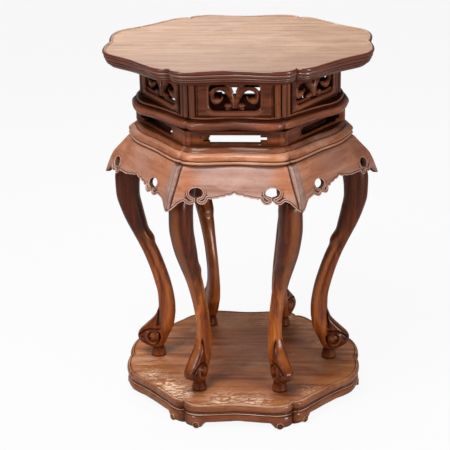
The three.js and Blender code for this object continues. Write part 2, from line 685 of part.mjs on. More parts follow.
function footCutter(k) {
  const curl = sideLength(k, railRadius) / 2 - footInset(k);
  const right = [
    [curl, -1], [curl - SCROLL_FOOT.radius + 1, 2], [curl - SCROLL_FOOT.radius, 6],
    [curl - SCROLL_FOOT.radius - 3, FOOT_HEIGHT - 1.5], [curl - 22, FOOT_HEIGHT],
  ];
  const left = right.map(([s, z]) => [-s, z]).reverse();
  return [...right, ...left];
}

// A scroll's round face, square to the rail's own line at t
function scrollBoss(k, t) {
  const at = (u) => sidePoint(k, u, railRadius, BASE_LOBES.stretch, lobe(k, u, BASE_LOBES));
  const middle = at(t);
  const along = at(t + 0.02).sub(at(t - 0.02)).normalize();
  const out = new THREE.Vector2(along.y, -along.x);
  const boss = new THREE.CylinderGeometry(SCROLL_FOOT.radius, SCROLL_FOOT.radius, SCROLL_FOOT.depth, 12);
  boss.rotateZ(Math.atan2(out.y, out.x) - Math.PI / 2);
  const centre = middle.addScaledVector(out, SCROLL_FOOT.out - SCROLL_FOOT.depth / 2);
  boss.translate(centre.x, centre.y, SCROLL_FOOT.rise);
  return toManifold(facingOut(fromGeometry(boss)));
}

SIDE_NAMES.forEach((name, k) => {
  let rail = toManifold(lobedLength(k, railSection, BASE_LOBES, MOULDING_STEPS));
  rail = rail.subtract(sidePrism(k, railRadius, footCutter(k), ...CUT_REACH));
  const share = footInset(k) / sideLength(k, railRadius);
  for (const t of [share, 1 - share]) {
    rail = rail.add(scrollBoss(k, t));
  }
  addNode(`base_rail_${name}`, fromManifold(rail), BASE_BROWN);
});

export default group;
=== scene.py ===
"""Carved hexagonal hardwood side table: carved surfaces, woods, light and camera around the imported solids.

Metres in the scene; lengths below are millimetres. +Z up, the front side faces -Y and two opposite
corners lie on the X axis.
"""
import math
from collections import namedtuple

import bmesh
import bpy
import numpy as np
from mathutils import Matrix, Vector
from mathutils.geometry import delaunay_2d_cdt


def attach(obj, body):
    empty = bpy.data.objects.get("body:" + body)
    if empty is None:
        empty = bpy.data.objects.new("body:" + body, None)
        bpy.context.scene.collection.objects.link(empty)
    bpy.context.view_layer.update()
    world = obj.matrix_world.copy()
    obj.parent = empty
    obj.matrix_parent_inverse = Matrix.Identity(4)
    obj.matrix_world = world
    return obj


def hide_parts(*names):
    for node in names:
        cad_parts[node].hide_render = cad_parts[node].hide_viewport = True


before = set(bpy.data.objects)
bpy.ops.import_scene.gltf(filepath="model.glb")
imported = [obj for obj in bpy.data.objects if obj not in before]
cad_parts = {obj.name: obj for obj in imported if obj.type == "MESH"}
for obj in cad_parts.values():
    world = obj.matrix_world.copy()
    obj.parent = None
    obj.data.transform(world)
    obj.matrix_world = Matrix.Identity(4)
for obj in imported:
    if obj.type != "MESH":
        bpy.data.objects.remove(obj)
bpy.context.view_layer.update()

MM = 0.001
SHARP_ANGLE = 40
UP = (0, 0, 1)

# Camera, fitted to the corners of the table in the photograph
CAMERA_DISTANCE = 2.084
CAMERA_HEIGHT = 1.082
CAMERA_TURN = math.radians(3.25)
CAMERA_YAW = math.radians(0.775)
CAMERA_PITCH = math.radians(20.88)
CAMERA_ROLL = math.radians(-1.06)
CAMERA_LENS = 105.4
SENSOR_WIDTH = 36.0

# Plan: a hexagon slightly longer across than deep, with unit corner radius on the X axis
CORNERS = np.array([[1, 0], [0.457, 0.866], [-0.457, 0.866], [-1, 0], [-0.457, -0.866], [0.457, -0.866]])
CORNER_NAMES = ["right", "back_right", "back_left", "left", "front_left", "front_right"]
SIDE_NAMES = ["right_back", "back", "left_back", "left_front", "front", "right_front"]
FRONT_SIDE = SIDE_NAMES.index("front")
HALF_DEPTH = 0.866
GAP = 0.3
SEAM = 0.06

# Heights of the tiers
RAIL_TOP = 26.0
BASE_TOP = 42.3
LEG_FOOT = 42.6
LEG_HEIGHT = 405.4
LEG_TOP = LEG_FOOT + LEG_HEIGHT
LOWER_MOULDING_Z, LOWER_MOULDING_TOP = 448.3, 472.3
LOWER_WAIST_Z, LOWER_WAIST_TOP = 472.6, 495.6
UPPER_MOULDING_Z, UPPER_MOULDING_TOP = 495.9, 517.9
UPPER_WAIST_Z, UPPER_WAIST_TOP = 518.2, 579.2
TOP_SURFACE = 603.5

# Corner radii of the tiers
TOP_RADIUS = 210
UPPER_WAIST_RADIUS = 161
UPPER_MOULDING_RADIUS = 166
LOWER_WAIST_RADIUS = 169
FRAME_RADIUS = 185
FRAME_INNER_RADIUS = 142
BASE_RADIUS = 197
RAIL_RADIUS = 196
RAIL_INNER_RADIUS = 168
WAIST_STEP = 7
POINT_PULL = 4

# Lobes of a side: how far its ears and the hollow between them stand out from the corner line. A point corner
# has broad ears, the other corners narrow ones on the slanted sides and small ones on the front and back.
Lobes = namedtuple("Lobes", "broad narrow small front_dip slant_dip crisp stretch", defaults=(0, 0))
TOP_LOBES = Lobes(40, 20, 21, 8, 3, crisp=0.1)
UPPER_MOULDING_LOBES = Lobes(20, 7, 12, 7, 2, stretch=11.5)
LOWER_MOULDING_LOBES = Lobes(13, 6, 12, 4, 2)
BASE_LOBES = Lobes(33, 14, 18, 5, 2, crisp=0.4, stretch=0.4)
APRON_LOBES = Lobes(9, 1, 1, 0, 0)
BROAD_REACH = 0.35
SMALL_REACH = 0.17


# Plan helpers: corner k starts side k
def corner(k):
    return CORNERS[k % 6]


def corner_way(k):
    return corner(k) / np.linalg.norm(corner(k))


def along(k):
    step = corner(k + 1) - corner(k)
    return step / np.linalg.norm(step)


def normal(k):
    step = along(k)
    return np.array([step[1], -step[0]])


def is_point(k):
    return k % 3 == 0


def is_slanted(k):
    return is_point(k) or is_point(k + 1)


def side_kind(k):
    return "slanted" if is_slanted(k) else "straight"


def side_length(k, radius):
    return np.linalg.norm(corner(k + 1) - corner(k)) * radius


def side_grain(k):
    return (*along(k), 0)


def lobe(k, t, lobes):
    """How far side k's line stands out at t, from 0 at one corner to 1 at the next."""
    def end(n):
        if is_point(n):
            return lobes.broad, BROAD_REACH
        return (lobes.narrow if is_slanted(k) else lobes.small), SMALL_REACH

    def rise(ear, reach, distance):
        share = np.clip(distance / reach, 0, 1)
        quick = np.sqrt(1 - (1 - share) ** 2)
        if reach == BROAD_REACH:
            return ear * (np.sin(share * math.pi / 2) * (1 - lobes.crisp) + quick * lobes.crisp)
        return ear * quick

    start_ear, start_reach = end(k)
    end_ear, end_reach = end(k + 1)
    dip = lobes.slant_dip if is_slanted(k) else lobes.front_dip
    share = (t - start_reach) / (1 - start_reach - end_reach)
    middle = start_ear + (end_ear - start_ear) * share - dip * (1 - np.cos(2 * math.pi * share)) / 2
    out = np.where(t < start_reach, rise(start_ear, start_reach, t), middle)
    return np.where(t > 1 - end_reach, rise(end_ear, end_reach, 1 - t), out)


def side_point(k, t, radius, lobes):
    """Plan points of side k at t, for one or many t and radii."""
    t, radius = np.asarray(t, float), np.asarray(radius, float)
    start, finish = (corner(n) * (radius + lobes.stretch * is_point(n))[..., None] for n in (k, k + 1))
    return start + (finish - start) * t[..., None] + normal(k) * lobe(k, t, lobes)[..., None]


def side_steps(count):
    """Steps from 0 to 1, closer together at both ends."""
    even = np.arange(count + 1) / count
    return even - 0.6 * np.sin(2 * math.pi * even) / (2 * math.pi)


def mitred_steps(k, count):
    """The steps of side k, short of both corners by half a seam."""
    inset = SEAM / 2 / side_length(k, FRAME_INNER_RADIUS)
    return inset + side_steps(count) * (1 - 2 * inset)


# Curves and falloffs
def smooth_through(x, xs, ys):
    """Smooth curve through table values, without overshoot; xs rise."""
    slopes = np.diff(ys) / np.diff(xs)
    tangents = np.zeros_like(ys)
    same = slopes[:-1] * slopes[1:] > 0
    tangents[1:-1] = np.where(same, (slopes[:-1] + slopes[1:]) / 2, 0)
    limit = 2.5 * np.minimum(np.abs(slopes[:-1]), np.abs(slopes[1:]))
    tangents[1:-1] = np.clip(tangents[1:-1], -limit, limit)
    tangents[0], tangents[-1] = slopes[0], slopes[-1]
    i = np.clip(np.searchsorted(xs, x, side="right") - 1, 0, len(xs) - 2)
    h = xs[i + 1] - xs[i]
    u = (x - xs[i]) / h
    return (ys[i] * (1 + 2 * u) * (1 - u) ** 2 + tangents[i] * h * u * (1 - u) ** 2
            + ys[i + 1] * u * u * (3 - 2 * u) + tangents[i + 1] * h * u * u * (u - 1))


CATMULL_ROM = np.array([[0, 1, 0, 0], [-0.5, 0, 0.5, 0], [1, -2.5, 2, -0.5], [-0.5, 1.5, -1.5, 0.5]])


def curve_through(points, per_span):
    """Catmull-Rom curve through rows of any width."""
    p = np.asarray(points, float)
    p = np.vstack([2 * p[0] - p[1], p, 2 * p[-1] - p[-2]])
    weights = (np.arange(per_span)[:, None] / per_span) ** np.arange(4) @ CATMULL_ROM
    return np.vstack([weights @ p[i:i + 4] for i in range(len(p) - 3)] + [p[-2][None]])


def hump(distance, middle, half):
    """Rounded rise of height 1 around one distance."""
    share = np.clip(np.abs(distance - middle) / half, 0, 1)
    return 0.5 * (1 + np.cos(math.pi * share))


def ease(value, low, high):
    share = np.clip((value - low) / (high - low), 0, 1)
    return share * share * (3 - 2 * share)


def fall(value, low, high):
    return 1 - ease(value, low, high)


def circle(count):
    return np.arange(count) / count * 2 * math.pi


def distance_to(points, line, closed=False):
    """Distance of every point to a polyline."""
    starts = line if closed else line[:-1]
    ends = np.roll(line, -1, axis=0) if closed else line[1:]
    best = np.full(len(points), 1e9)
    for p, q in zip(starts, ends):
        d = q - p
        u = np.clip(((points - p) @ d) / max(d @ d, 1e-12), 0, 1)
        best = np.minimum(best, np.hypot(*(points - p - u[:, None] * d).T))
    return best


def from_loops(points, loops):
    return np.minimum.reduce([distance_to(points, loop, True) for loop in loops])


def inside(points, loops):
    """Even-odd test of points against closed loops."""
    odd = np.zeros(len(points), bool)
    for loop in loops:
        for (x0, y0), (x1, y1) in zip(loop, np.roll(loop, -1, axis=0)):
            if y0 == y1:
                continue
            crosses = (y0 > points[:, 1]) != (y1 > points[:, 1])
            at = x0 + (points[:, 1] - y0) * (x1 - x0) / (y1 - y0)
            odd ^= crosses & (points[:, 0] < at)
    return odd


# Outlines
def respaced(loop, spacing):
    """The loop with its long edges divided and its own points kept."""
    out = []
    for p, q in zip(loop, np.roll(loop, -1, axis=0)):
        parts = max(1, int(round(np.hypot(*(q - p)) / spacing)))
        out += [p + (q - p) * i / parts for i in range(parts)]
    return np.array(out)


def rounded(points):
    """Open line with its inner corners cut round."""
    line = np.asarray(points, float)
    for _ in range(2):
        cut = [line[0]]
        for p, q in zip(line[:-1], line[1:]):
            cut += [0.75 * p + 0.25 * q, 0.25 * p + 0.75 * q]
        line = np.array(cut + [line[-1]])
    return line


def ellipse(width, height, s0, z0, count):
    angle = circle(count)
    return np.column_stack([s0 + width / 2 * np.cos(angle), z0 + height / 2 * np.sin(angle)])


def rounded_rectangle(width, height, radius, z0, per_corner=6):
    points = []
    for quarter, (sx, sz) in enumerate([(1, 1), (-1, 1), (-1, -1), (1, -1)]):
        for i in range(per_corner + 1):
            angle = (quarter + i / per_corner) * math.pi / 2
            points.append([sx * (width / 2 - radius) + radius * math.cos(angle),
                           z0 + height / 2 + sz * (height / 2 - radius) + radius * math.sin(angle)])
    return np.array(points)


def from_edge(radius, z, rows):
    """Rows [radius, z, ...] from rows [inset, rise, ...]."""
    return [[radius - inset, z + rise, *rest] for inset, rise, *rest in rows]


def bead(radius, middle, half_height, out, levels, stain):
    """Rows [radius, z, carve level, stain] of a rounded bead, from low to high."""
    angles = np.linspace(-math.pi / 2, math.pi / 2, len(levels))
    return [[radius + out * math.cos(a), middle + half_height * math.sin(a), level, stain]
            for a, level in zip(angles, levels)]


def raised(plan, z):
    """Space points over plan points, at one height or at a height each."""
    return np.column_stack([plan, np.broadcast_to(z, len(plan))])


# Mesh helpers
def add_piece(name, points, faces, slot, grain, carve, shift, stain=0.0, sharp=SHARP_ANGLE, nodes=()):
    """One carved piece. Its attributes: grain runs along the fibres; carve is above 0 in cuts, painted dark
    as shade with grime, and below 0 on worn edges, painted pale as wear with highlight; the third darkens it,
    as real stain and as painted shade."""
    mesh = bpy.data.meshes.new(name)
    mesh.from_pydata((points * MM).tolist(), [], faces)
    mesh.validate()
    for key, values in (("carve", carve), ("stain", stain)):
        layer = mesh.attributes.new(key, "FLOAT", "POINT")
        layer.data.foreach_set("value", np.broadcast_to(np.asarray(values, np.float32), len(points)))
    link_piece(name, mesh, slot, grain, shift, sharp, nodes)


def add_carved(node, *shape, **looks):
    """The carved piece that takes the place of a node."""
    add_piece("carved_" + node, *shape, nodes=[node], **looks)


def link_piece(name, mesh, slot, grain, shift, sharp, nodes):
    mesh.polygons.foreach_set("use_smooth", [True] * len(mesh.polygons))
    mesh.set_sharp_from_angle(angle=math.radians(sharp))
    store_grain(mesh, grain, shift)
    mesh.materials.append(WOODS[slot])
    piece = bpy.data.objects.new(name, mesh)
    bpy.context.scene.collection.objects.link(piece)
    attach(piece, "root")
    if nodes:
        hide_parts(*nodes)


def store_grain(mesh, grain, shift):
    """Places along and across the fibres, for the woods' noises."""
    place = np.empty(len(mesh.vertices) * 3, np.float32)
    mesh.vertices.foreach_get("co", place)
    fibre = np.asarray(grain, float) / np.linalg.norm(grain)
    across = np.cross([0, 0, 1] if abs(fibre[2]) < 0.9 else [1, 0, 0], fibre)
    across /= np.linalg.norm(across)
    turned = place.reshape(-1, 3) @ np.column_stack([fibre, across, np.cross(fibre, across)]) + shift
    attribute = mesh.attributes.new("grain", "FLOAT_VECTOR", "POINT")
    attribute.data.foreach_set("vector", turned.astype(np.float32).ravel())


def loft(loops):
    """Points and outward faces of a closed skin over equal closed loops."""
    loops = np.asarray(loops, float)
    rows, count = loops.shape[:2]
    faces = []
    for i in range(rows - 1):
        for j in range(count):
            a, b = i * count + j, i * count + (j + 1) % count
            faces.append((a, b, b + count, a + count))
    faces += [tuple(range(count))[::-1], tuple(range((rows - 1) * count, rows * count))]
    points = loops.reshape(-1, 3)
    return points, outward(points, faces)


def outward(points, faces):
    volume = 0.0
    for face in faces:
        for i in range(1, len(face) - 1):
            volume += points[face[0]] @ np.cross(points[face[i]], points[face[i + 1]])
    return faces if volume > 0 else [face[::-1] for face in faces]


def joined(parts):
    """One set of points, faces and carve levels from several."""
    faces, start = [], 0
    for points, part_faces, _ in parts:
        faces += [tuple(v + start for v in face) for face in part_faces]
        start += len(points)
    return np.vstack([part[0] for part in parts]), faces, np.concatenate([part[2] for part in parts])


# Plates: carve level of their backs, which paints them dark as shade inside the table; spacing of their
# points' rows; how near their points come to the fine rows, to a crease and to the edge
BACK_SHADE_LEVEL = 1.0
ROW_SPACING = 0.87
ROW_CLEARANCE, ROW_SLACK = 0.55, 0.12
CREASE_CLEARANCE, CREASE_FROM_EDGE = 0.45, 0.6


def plate_points(loops, spacing, rows, creases):
    """Points inside the loops: an even cloud, fine rows beside the edges and the lines of the creases."""
    low, high = np.vstack(loops).min(0), np.vstack(loops).max(0)
    cloud = []
    for j, y in enumerate(np.arange(low[1], high[1], spacing * ROW_SPACING)):
        x = np.arange(low[0] + (j % 2) * spacing / 2, high[0], spacing)
        cloud.append(np.column_stack([x, np.full(len(x), y)]))
    cloud = np.vstack(cloud)
    cloud = cloud[inside(cloud, loops)]
    cloud = cloud[from_loops(cloud, loops) > max(rows) + spacing * ROW_CLEARANCE]
    for row in rows:
        for loop in loops:
            step = np.roll(loop, -1, axis=0) - np.roll(loop, 1, axis=0)
            step /= np.maximum(np.hypot(*step.T), 1e-9)[:, None]
            for side in (-1, 1):
                offset = loop + side * row * np.column_stack([-step[:, 1], step[:, 0]])
                offset = offset[inside(offset, loops)]
                cloud = np.vstack([cloud, offset[from_loops(offset, loops) > row - ROW_SLACK]])
    for line in creases:
        line = line[inside(line, loops)]
        line = line[from_loops(line, loops) > CREASE_FROM_EDGE]
        if len(line):
            near = np.array([np.hypot(*(line - p).T).min() for p in cloud])
            cloud = np.vstack([cloud[near > CREASE_CLEARANCE], line])
    return cloud


def triangulated(loops, cloud):
    """Points and counterclockwise triangles that fill the loops and use the cloud."""
    edges, start = [], 0
    for loop in loops:
        edges += [(start + i, start + (i + 1) % len(loop)) for i in range(len(loop))]
        start += len(loop)
    points = [Vector(p) for p in np.vstack([*loops, cloud])]
    vertices, _, triangles, *_ = delaunay_2d_cdt(points, edges, [], 0, 1e-4, False)
    flat, triangles = np.array([v[:] for v in vertices]), np.array(triangles)
    triangles = triangles[inside(flat[triangles].mean(1), loops)]
    a, b, c = (flat[triangles[:, i]] for i in range(3))
    area = (b[:, 0] - a[:, 0]) * (c[:, 1] - a[:, 1]) - (b[:, 1] - a[:, 1]) * (c[:, 0] - a[:, 0])
    triangles[area < 0] = triangles[area < 0][:, ::-1]
    return flat, triangles[np.abs(area) > 1e-6]


def plate(outline, holes, spacing, rows, front, back, creases=()):
    """A carved board: `front` and `back` place its 2D points in space; `rows` are fine rows beside its edges
    and `creases` are lines that the mesh follows."""
    loops = [respaced(loop, spacing) for loop in [outline, *holes]]
    flat, triangles = triangulated(loops, plate_points(loops, spacing, rows, creases))
    front_points, levels = front(flat)
    count = len(flat)
    faces = [tuple(t) for t in triangles.tolist()]
    edges = dict.fromkeys((t[i], t[(i + 1) % 3]) for t in faces for i in range(3))
    walls = [(b, a, a + count, b + count) for a, b in edges if (b, a) not in edges]
    faces += [(t[2] + count, t[1] + count, t[0] + count) for t in faces]
    levels = np.concatenate([levels, np.full(count, BACK_SHADE_LEVEL)])
    return np.vstack([front_points, back(flat)]), faces + walls, levels, np.vstack([flat, flat])


# Woods
def linear(red, green, blue):
    """Linear colour from the 0 to 255 values that a screen shows."""
    return tuple(((v / 255 + 0.055) / 1.055) ** 2.4 for v in (red, green, blue))


def plug(tree, node, inputs):
    """Links outputs to a node's inputs and sets numbers and colours on them."""
    for key, value in inputs.items():
        socket = node.inputs[key]
        if isinstance(value, bpy.types.NodeSocket):
            tree.links.new(value, socket)
        else:
            socket.default_value = (*value, 1) if socket.type == "RGBA" else value


def add_node(tree, kind, inputs, output=0, **settings):
    """One of the outputs of a new shader node."""
    node = tree.nodes.new("ShaderNode" + kind)
    for name, value in settings.items():
        setattr(node, name, value)
    plug(tree, node, inputs)
    return node.outputs[output]


def noise(tree, source, scale, detail, distortion):
    place = add_node(tree, "Mapping", {"Scale": scale, "Vector": source})
    return add_node(tree, "TexNoise", {"Vector": place, "Scale": 1.0, "Detail": detail, "Roughness": 0.6,
                                       "Distortion": distortion}, "Fac")


def remap(tree, source, low, high, to_low=0.0, to_high=1.0):
    return add_node(tree, "MapRange", {"Value": source, "From Min": low, "From Max": high, "To Min": to_low,
                                       "To Max": to_high})


def combined(tree, operation, first, second):
    return add_node(tree, "Math", {0: first, 1: second}, operation=operation)


def attribute(tree, name, output="Fac"):
    return add_node(tree, "Attribute", {}, output, attribute_name=name)


def ramp(tree, source, stops):
    colour = add_node(tree, "ValToRGB", {"Fac": source})
    elements = colour.node.color_ramp.elements
    while len(elements) < len(stops):
        elements.new(0.5)
    for element, (position, shade) in zip(elements, stops):
        element.position = position
        element.color = (*shade, 1)
    return colour


def new_material(name):
    material = bpy.data.materials.new(name)
    material.use_nodes = True
    return material, material.node_tree, material.node_tree.nodes["Principled BSDF"]


# Scale along and across the fibres, detail and distortion of figure, fibres, pores, patches and mottle
NOISES = [((6, 80, 80), 6, 0.6), ((26, 520, 520), 3, 0), ((110, 1600, 1600), 2, 0), ((16, 24, 24), 5, 0.5),
          ((60, 150, 150), 6, 1.6)]
# Reach of the occlusion that paints shade, with grime, into nooks
NOOK_SHADE_REACH = 0.012
FIBRE_RELIEF, MOTTLE_RELIEF = 0.0005, 0.0008
COAT_ROUGHNESS = 0.09


def wood(name, dark, middle, light, worn_and_highlight, grime_and_shade, tint, roughness, coat, wear, streak):
    """Long-grained hardwood: figure, fibres, pores, worn patches, mottle, stained places and painted shade,
    rubbed places, worn edges with painted highlights, and cuts and nooks darkened with grime and painted
    shade."""
    dark, middle, light, worn_and_highlight, grime_and_shade = (linear(*shade) for shade in (dark, middle, light, worn_and_highlight, grime_and_shade))
    material, tree, shader = new_material(name)
    place = attribute(tree, "grain", "Vector")
    figure, fibre, pore, patch, mottle = (noise(tree, place, *values) for values in NOISES)
    stain, rubbed, level = (attribute(tree, name) for name in ("stain", "wear", "carve"))
    scuffs = combined(tree, "MULTIPLY", rubbed, remap(tree, mottle, 0.5, 0.55))
    nook_shade = add_node(tree, "AmbientOcclusion", {"Distance": NOOK_SHADE_REACH}, "AO", samples=8)
    colour = ramp(tree, figure, [(0.3, dark), (0.5, middle), (0.7, light)])
    # Below 0 the carve level mixes in the pale of wear and painted highlight, above 0 the dark of grime and
    # painted shade in cuts; the occlusion paints shade into nooks
    for factor, shade, blend in ((remap(tree, fibre, 0.42, 0.72, 0, streak), dark, "MIX"),
                                 (remap(tree, pore, 0.6, 0.72, 0, 0.4), grime_and_shade, "MIX"),
                                 (remap(tree, patch, 0.5, 0.72, 0, wear), worn_and_highlight, "MIX"),
                                 (remap(tree, mottle, 0.48, 0.3, 0, 0.45), dark, "MIX"),
                                 (stain, tint, "MULTIPLY"),
                                 (scuffs, worn_and_highlight, "MIX"),
                                 (remap(tree, level, 0, -1, 0, 0.7), worn_and_highlight, "MIX"),
                                 (remap(tree, level, 0, 1, 0, 0.92), grime_and_shade, "MIX"),
                                 (remap(tree, nook_shade, 0.7, 0.2, 0, 0.75), grime_and_shade, "MIX")):
        colour = add_node(tree, "Mix", {"Factor": factor, 6: colour, 7: shade}, 2, data_type="RGBA",
                          blend_type=blend)
    relief = add_node(tree, "Bump", {"Strength": 0.22, "Distance": FIBRE_RELIEF, "Height": fibre})
    wave = add_node(tree, "Bump", {"Strength": 0.2, "Distance": MOTTLE_RELIEF, "Height": mottle,
                                   "Normal": relief})
    dullness = combined(tree, "ADD", remap(tree, patch, 0.3, 0.7, roughness - 0.07, roughness + 0.12),
                        remap(tree, level, 0.1, 1, 0, 0.35))
    bare, varnished = coat
    gloss = combined(tree, "MULTIPLY", remap(tree, stain, 0, 1, bare, varnished),
                     remap(tree, level, 0, 0.8, 1, 0))
    plug(tree, shader, {"Base Color": colour, "Normal": wave, "Roughness": dullness, "Coat Weight": gloss,
                        "Coat Roughness": COAT_ROUGHNESS,
                        "Specular IOR Level": remap(tree, level, 0, 0.8, 0.18, 0.02)})
    return material


# Dark, middle and light wood, the pale of wear and painted highlight and the dark of grime and painted shade,
# as screen colours; the factor of stain and painted shade; roughness; coat on bare and on stained wood; worn
# patches; dark fibres
GRIME_AND_SHADE = (20, 8, 4)
WOOD_LOOKS = {
    "top_wood": [(158, 118, 90), (188, 149, 121), (208, 170, 141), (220, 186, 160), (60, 26, 14),
                 (0.24, 0.06, 0.02), 0.42, (0.1, 0.9), 0.5, 0.3],
    "waist_wood": [(58, 20, 6), (104, 46, 15), (148, 76, 28), (176, 110, 80), GRIME_AND_SHADE,
                   (0.5, 0.43, 0.4), 0.34, (0.34, 0.34), 0.12, 0.3],
    "moulding_wood": [(72, 30, 16), (118, 58, 34), (156, 84, 52), (196, 130, 100), GRIME_AND_SHADE,
                      (0.5, 0.45, 0.42), 0.3, (0.22, 0.22), 0.3, 0.15],
    "lower_moulding_wood": [(112, 52, 22), (164, 96, 58), (198, 130, 88), (226, 176, 150), (36, 14, 6),
                            (0.5, 0.4, 0.34), 0.32, (0.35, 0.3), 0.6, 0.3],
    "apron_wood": [(142, 98, 82), (166, 130, 117), (184, 150, 138), (206, 172, 160), (48, 24, 16),
                   (1.0, 0.62, 0.36), 0.44, (0.14, 0.1), 0.5, 0.05],
    "leg_wood": [(80, 32, 10), (144, 68, 20), (202, 110, 36), (200, 120, 64), (16, 7, 3),
                 (0.19, 0.1, 0.045), 0.3, (0.3, 0.12), 0.1, 0.3],
    "base_wood": [(126, 68, 36), (178, 110, 64), (206, 140, 88), (244, 212, 184), (40, 18, 10),
                  (0.38, 0.24, 0.18), 0.44, (0.08, 0.55), 0.3, 0.35]}
WOODS = {name: wood(name, *looks) for name, looks in WOOD_LOOKS.items()}


# Lobed boards in planks
# Rings of the flat faces as shares of the rim; the rim's pale marks, wear with painted highlight, are
# strongest where it faces the front and the lamps, between these cosines; the edge is darker beside a corner
# up to this share of a side
INNER_SHARES = [0.02, 0.12, 0.24, 0.36, 0.48, 0.6, 0.7, 0.78, 0.85, 0.91, 0.96]
BOARD_STEPS = 56
HIGHLIGHT_FRONT = (0.6, 0.88)
HIGHLIGHT_ELSEWHERE = 0.3
CORNER_DARK_SHARE = 0.07


def lobed_board(rows, lobes, names, slot, half_depth, shift, stain_at, wear_at, corner_darkening=0.0):
    """Planks cut from a board whose edge has [radius, z, carve level, stain] rows, from the middle of its top
    to its under face."""
    steps = side_steps(BOARD_STEPS)[:-1]
    outlines = [np.vstack([side_point(k, steps, row[0], lobes) for k in range(6)]) for row in rows]
    rings = [raised(outlines[0] * share, rows[0][1]) for share in INNER_SHARES]
    rings += [raised(outline, row[1]) for outline, row in zip(outlines, rows)]
    rings += [raised(outlines[-1] * share, rows[-1][1]) for share in INNER_SHARES[::-1]]
    points, faces = loft(rings)
    # The under face rings take carve level and stain 1: painted shade under the board
    looks = [[0, 0] for _ in INNER_SHARES] + [row[2:] for row in rows] + [[1, 1] for _ in INNER_SHARES]
    levels, stains = np.repeat(np.array(looks, float), len(outlines[0]), axis=0).T
    on_top = points[:, 2] > rows[0][1] - 0.2
    stains = np.clip(stains + np.where(on_top, stain_at(points), 0), 0, 1)
    wear = np.where(on_top, wear_at(points), 0)
    # The pale marks are strongest where the rim faces the front and the lamps: painted highlight
    in_front = ease(-points[:, 1] / np.maximum(np.hypot(points[:, 0], points[:, 1]), 1), *HIGHLIGHT_FRONT)
    near_corner = np.tile(fall(np.minimum(steps, 1 - steps), 0, CORNER_DARK_SHARE), 6 * len(rings))
    worn_and_highlight = levels * (HIGHLIGHT_ELSEWHERE + (1 - HIGHLIGHT_ELSEWHERE) * in_front)
    levels = np.where(levels < 0, worn_and_highlight, levels)
    levels = levels + np.where(on_top, 0, corner_darkening * near_corner)
    board = bmesh.new()
    layers = [board.verts.layers.float.new(layer) for layer in ("carve", "stain", "wear")]
    vertices = []
    for p, values in zip(points * MM, np.column_stack([levels, stains, wear])):
        vertices.append(board.verts.new(p))
        for layer, value in zip(layers, values):
            vertices[-1][layer] = value
    for face in faces:
        board.faces.new([vertices[i] for i in face])
    add_planks(board, names, slot, half_depth, shift)
    board.free()


def add_planks(board, names, slot, half_depth, shift):
    """Saws a board into planks of equal width, a seam apart."""
    width = 2 * half_depth / len(names)
    for i, name in enumerate(names):
        plank = board.copy()
        y0 = (-half_depth + i * width + SEAM / 2) * MM
        y1 = y0 + (width - SEAM) * MM
        for y, away in ((y0, (0, -1, 0)), (y1, (0, 1, 0))):
            cut = bmesh.ops.bisect_plane(plank, geom=plank.verts[:] + plank.edges[:] + plank.faces[:],
                                         plane_co=(0, y, 0), plane_no=away, clear_outer=True)
            rim = [e for e in cut["geom_cut"] if isinstance(e, bmesh.types.BMEdge)]
            if rim:
                bmesh.ops.triangle_fill(plank, edges=rim, use_beauty=True, normal=away)
        mesh = bpy.data.meshes.new(name)
        plank.to_mesh(mesh)
        plank.free()
        link_piece("carved_" + name, mesh, slot, (1, 0, 0), 0.37 * (i + 1) + shift, SHARP_ANGLE, [name])


# The top's rim as [inset, rise, carve level, stain]; its reeds as [drop, height, inset, bulge]; how far the
# groove under a reed lies back and down; how much darker the top is toward the front, painted shade that
# leaves the back lighter as its sheen does
TOP_LIP = [[9.5, -1.6, 0, 0], [6.8, -1.6, 0.1, 0.04], [6.2, -1.5, 0.3, 0.15], [5.6, -0.7, 0.05, 0.05],
           [4.8, -0.1, -0.3, 0.05], [3.6, 0, -0.1, 0.6]]
REEDS = [[0, 5.6, 2.6, 2.6], [6.2, 5.6, 4.6, 2.6], [12.4, 3.4, 6.2, 2], [16.3, 2.3, 7.6, 1.4]]
# Carve levels up a reed from its foot: dark low on it as painted shade and, below the highest, a pale painted
# highlight high on it; the groove under each reed is dark as painted shade
HIGHEST_REED_LEVELS = [1, 0.6, 0.2, 0.05, 0, 0, 0, 0, 0]
REED_LEVELS = [1, 0.7, 0.3, 0.05, 0, -0.2, -1, -0.5, 0.2]
REED_GAP = (0.6, 0.3)
FRONT_SHADE, FRONT_SHADE_REACH = 0.3, (-60, 190)
# The top's under face is painted dark with carve levels: painted shade under the top
TOP_UNDERSIDE = [[10, -19.9, 0.4, 1], [11.4, -21.5, 0.4, 1], [13.4, -22.9, 0.4, 1], [15.6, -23.8, 0.5, 1],
                 [18, -24, 0.6, 1]]


def add_top():
    rows = from_edge(TOP_RADIUS, TOP_SURFACE, TOP_LIP)
    for drop, height, inset, bulge in REEDS:
        middle = TOP_SURFACE - drop - height / 2
        levels = REED_LEVELS if drop else HIGHEST_REED_LEVELS
        rows += bead(TOP_RADIUS - inset, middle, height / 2, bulge, levels, 1)[::-1]
        rows.append([TOP_RADIUS - inset - REED_GAP[0], middle - height / 2 - REED_GAP[1], 1, 1])
    rows += from_edge(TOP_RADIUS, TOP_SURFACE, TOP_UNDERSIDE)
    lobed_board(rows, TOP_LOBES, ["top_plank_front", "top_plank_middle", "top_plank_back"], "top_wood",
                TOP_RADIUS * HALF_DEPTH + TOP_LOBES.broad, 0.0,
                lambda p: FRONT_SHADE * ease(-p[:, 1], *FRONT_SHADE_REACH), lambda p: np.zeros(len(p)))


